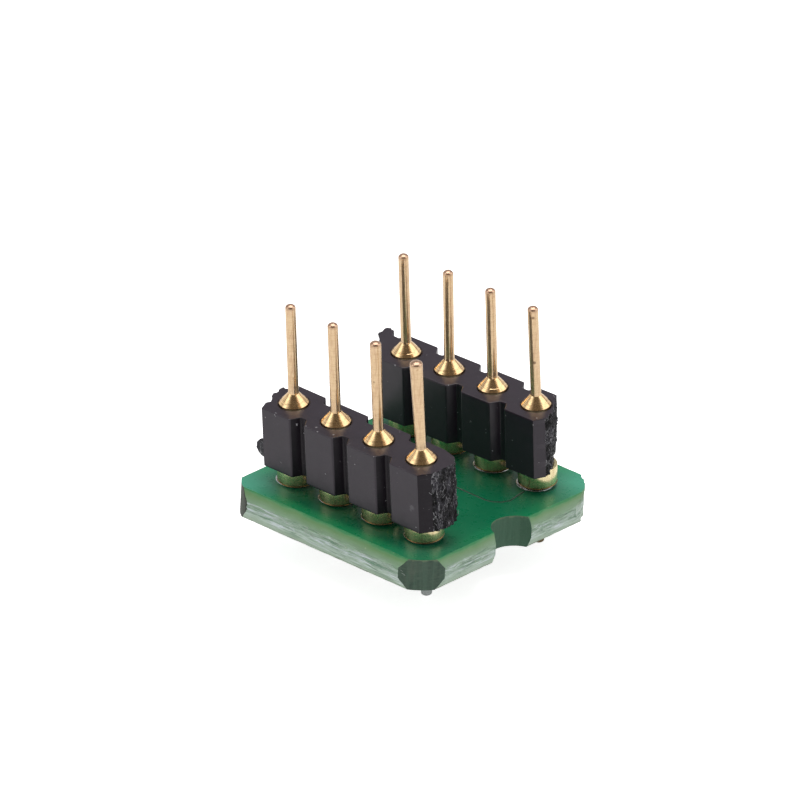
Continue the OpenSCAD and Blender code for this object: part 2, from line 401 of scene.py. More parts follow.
def revolve_tree(name):
    """Turns a profile of points (radius, 0, height) round Z, and bends what is above one height."""
    tree, given = geometry_tree(name, Segments="Int", Bend="Float", Bend_Height="Float")
    profile = given["Geometry"]
    count = result(tree, "GeometryNodeAttributeDomainSize", {0: profile}, "Point Count", component="MESH")
    grid = add(tree, "GeometryNodeMeshGrid", {"Size X": 1.0, "Size Y": 1.0, "Vertices Y": count,
                                              "Vertices X": given["Segments"] + 1.0})
    mesh, coords = (Value(tree, grid.outputs[key]) for key in ("Mesh", "UV Map"))
    here = result(tree, "GeometryNodeInputPosition")
    last = count - 1.0

    def point_at(share):
        """Radius, side and height of the profile's point at a share of its count."""
        index = (share * last).math("ROUND")
        return result(tree, "GeometryNodeSampleIndex", {"Geometry": profile, "Value": here, "Index": index},
                      data_type="FLOAT_VECTOR", domain="POINT").parts()

    round_share, up_share, _ = coords.parts()
    level = point_at(up_share)[2] * UV_PER_METRE
    stored = result(tree, "GeometryNodeStoreNamedAttribute",
                    {"Geometry": mesh, "Name": "UVMap", "Value": vector(tree, x=round_share, y=level)},
                    data_type="FLOAT2", domain="CORNER")
    x, y, _ = here.parts()
    turn = (x + 0.5) * (2 * math.pi)
    radius, _, height = point_at(y + 0.5)
    across = vector(tree, x=radius * turn.math("COSINE"), y=radius * turn.math("SINE"), z=height)
    turned = result(tree, "GeometryNodeSetPosition", {"Geometry": stored, "Position": across})
    above = result(tree, "FunctionNodeCompare", {0: here.parts()[2], 1: given["Bend Height"]},
                   operation="GREATER_THAN", data_type="FLOAT")
    pivot = vector(tree, z=given["Bend Height"])
    bent = result(tree, "ShaderNodeVectorRotate", {"Vector": here, "Center": pivot, "Angle": given["Bend"]},
                  rotation_type="X_AXIS")
    moved = result(tree, "GeometryNodeSetPosition",
                   {"Geometry": turned, "Selection": above, "Position": bent})
    welded = result(tree, "GeometryNodeMergeByDistance", {"Geometry": moved, "Distance": WELD})
    smooth = result(tree, "GeometryNodeSetShadeSmooth", {"Geometry": welded})
    close_tree(tree, smooth, given["Material"])


def whisker_tree(name):
    """Scatters fine curved fibres over a patch, each lying along it near one direction."""
    tree, given = geometry_tree(name, Density="Float", Length="Float", Thickness="Float", Lift="Float",
                                Scatter="Float", Direction="Vector", Seed="Int")
    points = add(tree, "GeometryNodeDistributePointsOnFaces",
                 {"Mesh": given["Geometry"], "Density": given["Density"], "Seed": given["Seed"]})
    scattered, facing = (Value(tree, points.outputs[key]) for key in ("Points", "Rotation"))
    arch = vector(tree, x=0.5, y=FIBRE_BOW, z=given["Lift"])
    line = result(tree, "GeometryNodeCurveQuadraticBezier",
                  {"Resolution": 6, "Start": (0, 0, 0), "Middle": arch, "End": (1, 0, 0)})
    ring = result(tree, "GeometryNodeCurvePrimitiveCircle",
                  {"Resolution": 5, "Radius": given["Thickness"] / given["Length"]}, mode="RADIUS")
    fibre = result(tree, "GeometryNodeCurveToMesh",
                   {"Curve": line, "Profile Curve": ring, "Fill Caps": True})
    along = result(tree, "FunctionNodeAlignRotationToVector",
                   {"Rotation": facing, "Vector": given["Direction"]}, axis="X", pivot_axis="Z")

    def between(low, high, seed):
        """A random number for each fibre."""
        return result(tree, "FunctionNodeRandomValue", {2: low, 3: high, "Seed": seed}, 1, data_type="FLOAT")

    twist = vector(tree, z=between(given["Scatter"] * -1.0, given["Scatter"], given["Seed"]))
    swing = result(tree, "FunctionNodeEulerToRotation", {0: twist})
    turned = result(tree, "FunctionNodeRotateRotation", {"Rotation": along, "Rotate By": swing},
                    rotation_space="LOCAL")
    size = between(given["Length"] * SHORTEST_FIBRE, given["Length"], given["Seed"] + 7.0)
    laid = result(tree, "GeometryNodeInstanceOnPoints",
                  {"Points": scattered, "Instance": fibre, "Rotation": turned, "Scale": size})
    close_tree(tree, laid, given["Material"])


def track_tree(name):
    """Sweeps a low, flat section along each polyline, with its corners cut."""
    tree, given = geometry_tree(name, Width="Float", Thickness="Float", Corner_Radius="Float")
    line = result(tree, "GeometryNodeMeshToCurve", {0: given["Geometry"]})
    fillet = result(tree, "GeometryNodeFilletCurve",
                    {"Curve": line, "Radius": given["Corner Radius"], "Limit Radius": True}, mode="POLY")
    level = result(tree, "GeometryNodeSetCurveNormal", {"Curve": fillet}, mode="Z_UP")
    section = result(tree, "GeometryNodeCurvePrimitiveQuadrilateral",
                     {"Width": given["Width"], "Height": given["Thickness"]}, mode="RECTANGLE")
    swept = result(tree, "GeometryNodeCurveToMesh",
                   {"Curve": level, "Profile Curve": section, "Fill Caps": True})
    close_tree(tree, swept, given["Material"])


TREES = {"Turned Part": revolve_tree, "Whiskers": whisker_tree, "Tracks": track_tree}


def run_tree(tree_name, name, source, material, **values):
    """Runs a tree, built on first use, on a source mesh and returns a plain object of the result."""
    if tree_name not in bpy.data.node_groups:
        TREES[tree_name](tree_name)
    tree = bpy.data.node_groups[tree_name]
    values = {"Material": material, **{key.replace("_", " "): value for key, value in values.items()}}
    carrier = bpy.data.objects.new(name + "_source", source)
    bpy.context.scene.collection.objects.link(carrier)
    modifier = carrier.modifiers.new("Build", "NODES")
    modifier.node_group = tree
    for item in tree.interface.items_tree:
        if item.item_type == "SOCKET" and item.in_out == "INPUT" and item.name in values:
            modifier[item.identifier] = values[item.name]
    bpy.context.view_layer.update()
    built = carrier.evaluated_get(bpy.context.evaluated_depsgraph_get())
    mesh = bpy.data.meshes.new_from_object(built)
    carrier.modifiers.remove(modifier)
    bpy.data.objects.remove(carrier)
    bpy.data.meshes.remove(source)
    if not len(mesh.polygons):
        raise RuntimeError(f"{name}: the node tree made nothing")
    mesh.name = name
    mesh.materials.clear()
    mesh.materials.append(material)
    mesh.polygons.foreach_set("material_index", np.zeros(len(mesh.polygons), np.int32))
    return show(name, mesh)


def show(name, mesh):
    """A new object of a mesh, at the origin."""
    piece = bpy.data.objects.new(name, mesh)
    bpy.context.scene.collection.objects.link(piece)
    return piece


# ---- Meshes ----

# A rounded corner takes up at most this share of each flat, and its extra points on the flats lie
# this share of its reach further out
CORNER_SHARE, FLAT_POINT = 0.4, 0.2
# Kinds of faces: a cap, an outer wall and a hole's wall
CAP, WALL, HOLE = range(3)
# Stray hairs stay this far inside the CAD parts' box, in metres
BOX_MARGIN = 1e-6


def plain_mesh(name, points, edges=(), faces=()):
    """A mesh from points in millimetres."""
    mesh = bpy.data.meshes.new(name)
    mesh.from_pydata([Vector(p) * MM for p in points], list(edges), list(faces))
    mesh.update()
    return mesh


def circle(radius, count=48, x=0.0, y=0.0):
    """A ring of points, counter-clockwise."""
    turns = [2 * math.pi * i / count for i in range(count)]
    return [(x + radius * math.cos(turn), y + radius * math.sin(turn)) for turn in turns]


def rectangle(x0, x1, y0, y1):
    """Four corners, counter-clockwise."""
    return [(x0, y0), (x1, y0), (x1, y1), (x0, y1)]


def arc_at(before, here, after, radius, steps):
    """Points round one corner, with one more on each flat, so that the flats shade flat."""
    before, here, after = Vector(before), Vector(here), Vector(after)
    a, b = before - here, after - here
    reach = min(radius, a.length * CORNER_SHARE, b.length * CORNER_SHARE)
    start, end = here + a.normalized() * reach, here + b.normalized() * reach
    arc = [start.lerp(before, reach * FLAT_POINT / (a.length - reach))]
    for k in range(steps + 1):
        t = k / steps
        arc.append(start * (1 - t) ** 2 + here * 2 * t * (1 - t) + end * t ** 2)
    arc.append(end.lerp(after, reach * FLAT_POINT / (b.length - reach)))
    return [tuple(p) for p in arc]


def rounded(corners, radius, steps=4):
    """A closed outline with its corners rounded, counter-clockwise."""
    count = len(corners)
    return [p for i in range(count)
            for p in arc_at(corners[i - 1], corners[i], corners[(i + 1) % count], radius, steps)]


def round_run(corners, radius, steps=4):
    """An open run with its inner corners rounded."""
    out = [tuple(corners[0])]
    for before, here, after in zip(corners, corners[1:], corners[2:]):
        out += arc_at(before, here, after, radius, steps)
    return out + [tuple(corners[-1])]


def inward(outline, distance):
    """The outline moved inwards along its own normals."""
    ring = np.array(outline, float)
    tangent = np.roll(ring, -1, 0) - np.roll(ring, 1, 0)
    tangent /= np.maximum(np.linalg.norm(tangent, axis=1, keepdims=True), 1e-9)
    return ring + distance * np.column_stack([-tangent[:, 1], tangent[:, 0]])


def even(points, count):
    """A polyline set out again as an even run of points."""
    line = np.array(points, float)
    run = np.concatenate([[0], np.cumsum(np.linalg.norm(np.diff(line, axis=0), axis=1))])
    at = np.linspace(0, run[-1], count)
    return np.column_stack([np.interp(at, run, line[:, 0]), np.interp(at, run, line[:, 1])])


def nearest(points, point):
    """The index of the nearest point."""
    return min(range(len(points)), key=lambda k: (points[k] - point).length_squared)


def inside(point, ring):
    """Whether a point is inside a ring of points."""
    x, y = ring[:, 0], ring[:, 1]
    x2, y2 = np.roll(x, -1), np.roll(y, -1)
    crosses = (y > point[1]) != (y2 > point[1])
    with np.errstate(divide="ignore", invalid="ignore"):
        at = (x2 - x) * (point[1] - y) / (y2 - y) + x
    return bool(np.count_nonzero(crosses & (point[0] < at)) % 2)


def cap(rings, flip):
    """Triangles over an outline with holes. Each ring is (points, index of its first vertex)."""
    points, owner, edges = [], [], []
    for ring, start in rings:
        base, count = len(points), len(ring)
        points += [Vector(p) for p in ring]
        owner += range(start, start + count)
        edges += [(base + k, base + (k + 1) % count) for k in range(count)]
    outer = list(range(len(rings[0][0])))
    spots, _, triangles, sources, *_ = geometry.delaunay_2d_cdt(points, edges, [outer], 1, WELD)
    holes = [np.array(ring) for ring, _ in rings[1:]]
    faces = []
    for face in triangles:
        middle = sum((spots[k] for k in face), Vector((0, 0))) / len(face)
        if any(inside(middle, hole) for hole in holes):
            continue
        ids = [owner[sources[k][0] if sources[k] else nearest(points, spots[k])] for k in face]
        if len(set(ids)) == len(ids):
            faces.append(ids[::-1] if flip else ids)
    return faces


def stack(levels, holes=()):
    """A closed solid through outlines of equal count, given as (height, points) from low to high.
    Returns points, faces, kinds and uv. A face's kind is CAP, WALL or HOLE and its place in the ring."""
    points, faces, kinds, uv = [], [], [], []

    def wall(rings, kind):
        """Adds a wall, and returns the first vertex of its lowest and of its highest ring."""
        starts = []
        first = rings[0][1]
        run = [0.0]
        for p, q in zip(first, first[1:]):
            run.append(run[-1] + math.dist(p, q))
        for z, ring in rings:
            starts.append(len(points))
            points.extend((p[0], p[1], z) for p in ring)
            uv.extend((u, z) for u in run)
        count = len(first)
        for low, high in zip(starts, starts[1:]):
            for k in range(count):
                n = (k + 1) % count
                quad = [low + k, low + n, high + n, high + k]
                faces.append(quad[::-1] if kind == HOLE else quad)
                kinds.append((kind, k))
        return starts[0], starts[-1]

    ends = [wall(levels, WALL)] + [wall(hole, HOLE) for hole in holes]
    for which, flip in ((0, True), (-1, False)):
        caps = cap([(rings[which][1], end[which]) for rings, end in zip([levels, *holes], ends)], flip)
        faces += caps
        kinds += [(CAP, 0)] * len(caps)
    return points, faces, kinds, uv


def solid(name, shape, *materials, chosen=None, matrix=None, sharp=32.0):
    """A piece from a stack in millimetres. chosen gives each face's material number."""
    points, faces, _, uv = shape
    matrix = matrix or Matrix.Identity(4)
    mesh = plain_mesh(name, [matrix @ Vector(p) for p in points], faces=faces)
    for material in materials:
        mesh.materials.append(material)
    if chosen is not None:
        mesh.polygons.foreach_set("material_index", np.array(chosen, np.int32))
        loops = np.zeros(len(mesh.loops), np.int32)
        mesh.loops.foreach_get("vertex_index", loops)
        layer = mesh.uv_layers.new(name="UVMap")
        layer.uv.foreach_set("vector", np.array(uv, np.float32)[loops].ravel())
    mesh.shade_smooth()
    mesh.set_sharp_from_angle(angle=math.radians(sharp))
    sloped = [len({round(points[k][2], 4) for k in face}) > 1 for face in faces]
    mesh.polygons.foreach_set("use_smooth", sloped)
    return show(name, mesh)


def patch_faces(count, rows, keep):
    """Quads between neighbouring rings of count points, where keep(row, place) says so."""
    faces = []
    for row in rows:
        for k in range(count - 1):
            if keep(row, k):
                i = row * count + k
                faces.append([i, i + 1, i + 1 + count, i + count])
    return faces


def turned(name, profile, material, segments=64, bend=0.0, bend_height=1.0):
    """A turned piece from its profile of (radius, height) in millimetres, bent above one height."""
    source = plain_mesh("profile", [(r, 0, z) for r, z in profile])
    return run_tree("Turned Part", name, source, material, Segments=segments, Bend=bend,
                    Bend_Height=bend_height)


def place(piece, matrix):
    """Moves a mesh by a matrix in millimetres, so that its object stays at the origin."""
    scaled = matrix.copy()
    scaled.translation = matrix.translation * MM
    piece.data.transform(scaled)
    return piece


def keep_inside(piece):
    """Draws stray hairs in to the CAD parts' box."""
    points = np.zeros(len(piece.data.vertices) * 3, np.float32)
    piece.data.vertices.foreach_get("co", points)
    low, high = (np.array(corner, np.float32) for corner in CAD_BOX)
    points = np.clip(points.reshape(-1, 3), low + BOX_MARGIN, high - BOX_MARGIN)
    piece.data.vertices.foreach_set("co", points.ravel())
    piece.data.update()
    return piece


def hand_over(piece, slot, *nodes):
    """The piece rides on the module and stands for its CAD nodes, hiding them. slot is not used."""
    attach(piece, ROOT)
    if nodes:
        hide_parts(*nodes)
    return piece


def wobble(x, y, z, size, octaves=3):
    """Smooth noise from about -1 to 1, with features of the given size."""
    return noise.fractal(Vector((x, y, z)) / size, 1.0, 2.0, octaves, noise_basis="PERLIN_ORIGINAL")


# ---- Finishes ----

class Coat:
    """A finish while it is laid: its material, node tree and shader, and the colour so far."""

    def __init__(self, name):
        self.material = bpy.data.materials.new(name)
        self.material.use_nodes = True
        self.tree = self.material.node_tree
        self.shader = self.tree.nodes["Principled BSDF"]
        self.here = self.at()
        self.color = None

    def at(self, *stretch):
        """Places in millimetres, stretched."""
        return self.mapped("Object", [s / MM for s in stretch or (1, 1, 1)])

    def along(self, across, up):
        """Places along and up a wall, from its UV map, stretched."""
        return self.mapped("UV", [across, up, 1])

    def mapped(self, source, scale):
        """Coordinates of one kind, times a scale in each direction."""
        coords = result(self.tree, "ShaderNodeTexCoord", output=source)
        return result(self.tree, "ShaderNodeMapping", {"Vector": coords, "Scale": scale})

    def lay(self, share, color):
        """Lays a colour over what is there."""
        self.color = share.tint(self.color, color)

    def set(self, **inputs):
        """Sets inputs of the shader: a Value is linked, a constant is set directly."""
        for name, value in inputs.items():
            socket = self.shader.inputs[name.replace("_", " ")]
            if isinstance(value, Value):
                self.tree.links.new(value.socket, socket)
            else:
                socket.default_value = value

    def dent(self, *layers):
        """Bumps, each with its height and its depth in millimetres, one on top of the other."""
        normal = {}
        for height, depth in layers:
            normal = {"Normal": result(self.tree, "ShaderNodeBump",
                                       {"Height": height, "Distance": depth * MM, **normal})}
        self.set(**normal)

    def marks(self, marks, ragged=None):
        """For each mark, its strength at its place and 0 away from it."""
        for x, y, z, size, strength in marks:
            away = result(self.tree, "ShaderNodeVectorMath", {0: self.here, 1: (x, y, z)}, 1,
                          operation="DISTANCE")
            yield (away + ragged if ragged else away).fade(size, size * 0.5, strength)


def shade(color, gain, lift=0.0):
    """A colour made darker or paler."""
    return [c * gain + lift for c in color]


def ripple(noise_value, reach):
    """Noise spread to both sides of 0, as far as reach."""
    return noise_value.span(0.3, 0.7, -reach, reach)


def vein(noise_value, width, strength):
    """Thin lines where the noise crosses its middle."""
    return abs(noise_value - 0.5).span(0.0, width, strength, 0.0)


# Colours of the solder mask near the board's edges and near its corners, both painted light, and worn thin
# at its rim
MASK_EDGE_LIGHT, MASK_CORNER_LIGHT, MASK_WORN = (0.012, 0.265, 0.098), (0.058, 0.375, 0.235), (0.16, 0.33, 0.17)
# The corners' painted light has a strength of 1.3 where x - y is up to 6 mm, and of 0.10 where it is 11 mm
CORNER_LIGHT_FADE = (6.0, 11.0, 1.3, 0.10)


def mask_finish(coat):
    """Glossy green solder mask over the laminate, a little worn along the scored edges, with painted light
    along its edges and at its corners.
    """
    s = settings().board
    x, y, _ = coat.here.parts()
    reach_x, reach_y = s.length_x / 2 - abs(x), s.width_y / 2 - abs(y)
    reach = reach_x.math("MINIMUM", reach_y)
    cloud = coat.here.grain(0.35)
    coat.color = cloud.span(0.35, 0.7).tint(shade(s.mask, 0.94), shade(s.mask, 1.12, 0.002))
    corner = reach_x.math("MAXIMUM", reach_y).span(0.3, 3.2, 0.85, 0.0, smooth=True)
    edge = reach.span(0.25, 0.85, 1.0, 0.0, smooth=True)
    # Painted light: paler green along the edges and at the corners, standing in for the room's light on the
    # glossy mask
    coat.lay(edge * x.span(3.5, 5.2, 1.0, 0.35), MASK_EDGE_LIGHT)
    coat.lay(corner * (x - y).span(*CORNER_LIGHT_FADE), MASK_CORNER_LIGHT)
    ragged = reach + ripple(coat.here.grain(2.6, 5.0), 0.05)
    coat.lay(ragged.span(0.0, 0.07, 0.3, 0.0, smooth=True), MASK_WORN)
    coat.set(Base_Color=coat.color, Roughness=coat.here.grain(3.0, 4.0).span(0.3, 0.7, 0.25, 0.34), IOR=1.39)
    coat.dent((coat.here.grain(0.7, 2.0) + coat.here.grain(7.0) * 0.04, 0.012))


def track_shade_finish(coat):
    """Solder mask drawn down beside a copper track, painted darker than the rest as the shadow at the
    track's edge.
    """
    s = settings().board
    coat.set(Base_Color=coat.here.grain(1.5).tint(shade(s.mask, 0.22), shade(s.mask, 0.4)), Roughness=0.35)
    coat.dent((coat.here.grain(4.0), 0.004))


# Colours up the scored edge, each at its share of 1.5 mm above the lower face
LAMINATE_COLORS = (
    (0.0, (0.12, 0.14, 0.09)), (0.03, (0.42, 0.55, 0.40)), (0.13, (0.45, 0.60, 0.45)),
    (0.27, (0.52, 0.67, 0.54)), (0.40, (0.44, 0.59, 0.47)), (0.53, (0.38, 0.54, 0.40)),
    (0.67, (0.28, 0.45, 0.28)), (0.80, (0.20, 0.36, 0.18)), (0.88, (0.15, 0.31, 0.12)),
    (0.94, (0.11, 0.31, 0.12)), (0.97, (0.045, 0.27, 0.09)), (1.0, (0.030, 0.26, 0.085)))
LAMINATE_HEIGHT = 1.5
WEAVE_SHADOW, TORN_FIBRE, FINE_FIBRE = (0.11, 0.25, 0.16), (0.84, 0.93, 0.97), (0.86, 0.92, 0.90)
FIBRE_GAP, RESIN_SPECK, PALE_RESIN = (0.14, 0.25, 0.15), (0.50, 0.60, 0.38), (0.50, 0.62, 0.50)


def laminate_finish(coat):
    """Scored glass laminate: green and olive above, whitened fibres in the web, pale green below."""
    s = settings().board
    level = coat.along(1, 1).parts()[1]
    at = level + ripple(coat.along(0.7, 2.0).grain(1.0, 5.0), 0.07)
    ramp = add(coat.tree, "ShaderNodeValToRGB", {0: at / LAMINATE_HEIGHT})
    while len(ramp.color_ramp.elements) < len(LAMINATE_COLORS):
        ramp.color_ramp.elements.new(0.5)
    for element, (where, color) in zip(ramp.color_ramp.elements, LAMINATE_COLORS):
        element.position, element.color = where, (*color, 1.0)
    coat.color = Value(coat.tree, ramp.outputs[0])
    streak = coat.along(0.6, 7.0).grain(1.0, 8.0, 0.68, 0.35)
    fine = coat.along(1.3, 22.0).grain(1.0, 4.0, 0.62, 0.3)
    patch = coat.along(0.5, 1.6).grain(1.0, 4.0).span(0.40, 0.58, 0.25, 1.0)
    band = at.span(0.06, 0.45, 0.3, 1.0, smooth=True) * at.span(0.88, 1.06, 1.0, 0.0, smooth=True)
    coat.lay(streak.fade(0.47, 0.38, 0.75) * band, WEAVE_SHADOW)
    coat.lay(band * patch * streak.fade(0.50, 0.58, 0.95), TORN_FIBRE)
    coat.lay(band * patch * fine.fade(0.56, 0.66, 0.75), FINE_FIBRE)
    coat.lay(fine.fade(0.44, 0.36, 0.5) * at.span(1.2, 1.0, 0.15, 1.0), FIBRE_GAP)
    coat.lay(coat.along(2.2, 3.0).grain().fade(0.68, 0.74, 0.6), RESIN_SPECK)
    right = coat.here.parts()[0].fade(s.length_x / 2 - 0.1, s.length_x / 2, 0.10)
    coat.lay(right * at.span(1.46, 1.30), PALE_RESIN)
    coat.set(Base_Color=coat.color, Roughness=0.42)
    coat.dent((streak * 0.7 + fine * 0.5, 0.02))


CUT_CLOTH, CHALKY_PATCH, NOTCH_GREEN = (0.085, 0.135, 0.095), (0.120, 0.150, 0.110), (0.060, 0.175, 0.100)
NOTCH_SHADE, WORN_RIM, FRONT_LEFT_DARKER = (0.026, 0.045, 0.034), (0.20, 0.27, 0.15), (0.050, 0.042, 0.036)


def milled_finish(coat):
    """Milled laminate: dark grey green, with upright cutter marks and cut glass cloth."""
    s = settings().board
    marks = coat.at(6.0, 6.0, 0.25).grain(1.0, 4.0, 0.6)
    cloth = coat.at(3.0, 3.0, 14.0).grain(1.0, 4.0, 0.6)
    coat.color = marks.span(0.38, 0.62).tint(shade(s.milled, 0.8), shade(s.milled, 1.2, 0.006))
    coat.lay(cloth.fade(0.46, 0.64, 0.6), CUT_CLOTH)
    coat.lay(coat.at(1.4, 1.4, 0.9).grain(1.0, 5.0, 0.65).fade(0.50, 0.66, 0.45), CHALKY_PATCH)
    x, y, z = coat.here.parts()
    notch = abs(y).span(2.0, 1.8)
    coat.lay(notch * 0.6, NOTCH_GREEN)
    coat.lay(notch * y.fade(-0.3, -1.2, 0.55), NOTCH_SHADE)
    top = board_levels()[1]
    worn = z + ripple(coat.here.grain(5.0, 4.0), 0.06)
    coat.lay(worn.fade(top - 0.10, top - 0.03, 0.55), WORN_RIM)
    # Darker brown towards the front-left corner
    coat.lay((x + y).fade(-9.5, -10.0, 0.6), FRONT_LEFT_DARKER)
    coat.set(Base_Color=coat.color, Roughness=0.65)
    coat.dent((marks + cloth * 0.4, 0.02))


# Chips and rubs in the front header's plastic: place and size in millimetres, and strength
HANDLING_MARKS = ((-2.823, -5.156, 6.73, 0.075, 0.9), (4.23, -5.32, 5.24, 0.16, 0.12),
                  (4.15, -5.28, 5.10, 0.12, 0.08), (0.62, -5.28, 6.35, 0.06, 0.25))


def plastic_finish(coat, share, ior):
    """Black moulded plastic with a soft gloss, fine grain and a few handling marks. share makes
    its colour darker, painted shade where it is below 1, and ior its gloss duller."""
    s, here = settings().header, coat.here
    coat.color = here.grain(1.2, 4.0).tint([c * 0.8 * share for c in s.plastic],
                                           [c * 1.25 * share for c in s.plastic])
    coat.lay(here.grain(4.5, 2.0, 0.4).span(0.735, 0.76) * 0.5, s.scratch)
    hair = vein(coat.at(0.5, 0.5, 3.2).grain(1.0, 2.0, 0.5, 1.6), 0.004, 1.0)
    line = hair * here.grain(0.45, 1.0).span(0.56, 0.64) * 0.10
    for mark in coat.marks(HANDLING_MARKS, ripple(here.grain(9.0), 0.05)):
        line = line.math("MAXIMUM", mark)
    coat.lay(line, s.scratch)
    coat.set(Base_Color=coat.color, Roughness=here.grain(2.0, 5.0).span(0.3, 0.7, 0.28, 0.38), IOR=ior)
    swells = here.grain(14.0, 2.0) * 0.12 + here.grain(1.6, 2.0) * 2.0
    coat.dent((swells + coat.at(9.0, 9.0, 0.25).grain() * 0.35, 0.0028))


def snapped_finish(coat):
    """Black plastic where it was snapped: torn lumps, with whitened scratches between them. The lumps are
    painted darker in their hollows and paler on their tops, as shade and light.
    """
    s = settings().header
    tear = coat.at(3.4, 3.4, 1.9).grain(1.0, 6.0, 0.66, 0.7)
    zone = coat.at(1.9, 1.9, 1.1).grain(1.0, 5.0, 0.68).span(0.46, 0.55)
    # Painted shade and light: darker in the hollows of the lumps and paler on their tops, following the
    # bump's noise
    coat.color = tear.span(0.42, 0.62, smooth=True).tint(shade(s.snapped, 0.3), shade(s.snapped, 1.6))
    coat.lay(zone * tear.span(0.40, 0.60), shade(s.snapped, 7.0))
    line = vein(coat.at(1.7, 1.7, 1.3).grain(1.0, 4.0, 0.55, 1.0), 0.010, 0.9)
    fine = coat.at(8.0, 8.0, 2.2).grain(1.0, 5.0, 0.65, 1.0)
    mark = line * coat.here.grain(1.1).span(0.44, 0.54)
    mark = mark.math("MAXIMUM", fine.fade(0.54, 0.62, 0.9) * zone)
    coat.lay(mark * 0.75, s.scratch)
    coat.set(Base_Color=coat.color, Roughness=0.5, IOR=1.3)
    coat.dent((tear + fine * 0.25, 0.16))


def fibre_finish(coat, color):
    """Fine torn fibres."""
    coat.set(Base_Color=coat.here.grain(6.0).tint(shade(color, 0.7), color), Roughness=0.45)


# Dark spots in the plating of the tails: place and size in millimetres, and strength
TAIL_MARKS = ((3.89, 2.75, 11.77, 0.085, 0.8), (3.90, 3.02, 9.47, 0.095, 0.9),
              (1.31, -4.93, 10.20, 0.075, 0.6))
DRAWN_STREAK, CLOUDED, RING_SHADE = (0.56, 0.34, 0.19), (0.66, 0.42, 0.28), (0.56, 0.38, 0.18)
# The foot's dark brown is a painted contact shadow at the flange's foot, running down the solder tail
CONE_CUT, FOOT_CONTACT_SHADOW, BROWN_TIP, TAIL_SPOT = (
    (0.42, 0.24, 0.10), (0.16, 0.08, 0.035), (0.50, 0.30, 0.215), (0.20, 0.115, 0.065))


def gold_finish(coat):
    """Turned gold plating, with the tool's rings, drawn streaks and a few darker specks. The
    flange, the cone and the free tail each have their own tone, and the flange's foot has a painted contact
    shadow."""
    p, here = settings().pin, coat.here
    ring, tip = cone_foot(), cone_foot(p.tail_length)
    height = coat.along(1, 1).parts()[1] * MM_PER_UV
    on_cone = height.span(ring - 0.10, ring - 0.04)
    on_tail = height.span(ring + p.cone_height - 0.03, ring + p.cone_height + 0.03)
    on_barrel = height.span(0.9, 0.8)
    coat.color = on_tail.tint(on_cone.tint(p.flange_gold, p.cone_gold), p.gold)
    rings = coat.along(0.3, 190.0).grain(1.0, 3.0, 0.6)
    coat.lay(here.grain(3.6, 4.0, 0.6).span(0.63, 0.70) * 0.6, p.tarnish)
    drawn = coat.at(11.0, 11.0, 0.9).grain(1.0, 4.0, 0.6)
    coat.lay(drawn.fade(0.50, 0.64, 0.5), DRAWN_STREAK)
    coat.lay(coat.at(5.0, 5.0, 2.5).grain(1.0, 5.0, 0.7).fade(0.50, 0.62, 0.3), CLOUDED)
    coat.lay(rings.fade(0.46, 0.72, 0.5), RING_SHADE)
    turned = coat.along(0.3, 72.0).grain(1.0, 2.0, 0.5)
    band = on_cone * (1.0 - on_tail)
    coat.lay(band * turned.fade(0.52, 0.66, 0.5), CONE_CUT)
    # Painted shadow where the flange stands on the board, and on the tail below it
    coat.lay(height.fade(0.052, 0.036, 0.8), FOOT_CONTACT_SHADOW)
    coat.lay(height.fade(tip - 0.26, tip - 0.06, 0.8), BROWN_TIP)
    for mark in coat.marks(TAIL_MARKS):
        coat.lay(mark, TAIL_SPOT)
    matt = on_cone * 0.06 + on_tail * 0.22 + on_barrel * 0.15
    rough = here.grain(4.0).span(0.3, 0.7, 0.07, 0.13) + on_barrel * 0.10 + on_tail * 0.08
    coat.set(Base_Color=coat.color, Metallic=1.0 - matt, Roughness=rough)
    coat.dent((turned * band * 5.0 + rings, 0.0018), (drawn, 0.003))


def tin_finish(coat):
    """Bright solder and tinned copper."""
    tin, here = settings().pin.tin, coat.here
    coat.set(Base_Color=here.grain(3.0).tint(shade(tin, 0.8), tin), Metallic=1.0,
             Roughness=here.grain(5.0).span(0.3, 0.7, 0.2, 0.36))
    coat.dent((here.grain(4.0), 0.02))


def mould_finish(coat):
    """Matt mould compound with fine grain."""
    mould, here = settings().chip.mould, coat.here
    coat.set(Base_Color=here.grain(9.0, 4.0).tint(shade(mould, 0.8), shade(mould, 1.3)),
             Roughness=here.grain(12.0).span(0.3, 0.7, 0.5, 0.64))
    coat.dent((here.grain(26.0), 0.006))


def metal_finish(coat, color, rough):
    """A plain metal with a faint grain."""
    coat.set(Base_Color=coat.here.grain(5.0).tint(shade(color, 0.85), color), Metallic=1.0,
             Roughness=coat.here.grain(8.0).span(0.3, 0.7, rough * 0.8, rough * 1.2))


def finish(name):
    """The material of a finish, laid when it is first asked for."""
    if name not in bpy.data.materials:
        s = settings()
        lay, options = {
            "solder_mask": (mask_finish, ()),
            "mask_over_track": (track_shade_finish, ()),
            "scored_laminate": (laminate_finish, ()),
            "milled_laminate": (milled_finish, ()),
            "moulded_black": (plastic_finish, (1.0, 1.5)),
            # In the grooves the plastic's colour is painted darker, as shade, and its gloss is duller
            "moulded_groove": (plastic_finish, (0.45, 1.32)),
            "snapped_plastic": (snapped_finish, ()),
            "whiskers": (fibre_finish, (s.header.scratch,)),
            "glass_fibre": (fibre_finish, ((0.72, 0.78, 0.73),)),
            "turned_gold": (gold_finish, ()),
            "tin": (tin_finish, ()),
            "chip_epoxy": (mould_finish, ()),
            "bare_copper": (metal_finish, (s.chip.copper, 0.35)),
            "polished_silicon": (metal_finish, (s.chip.silicon, 0.15)),
            "wire_gold": (metal_finish, ((0.95, 0.70, 0.30), 0.2)),
        }[name]
        lay(Coat(name), *options)
    return bpy.data.materials[name]


# ---- Circuit board ----

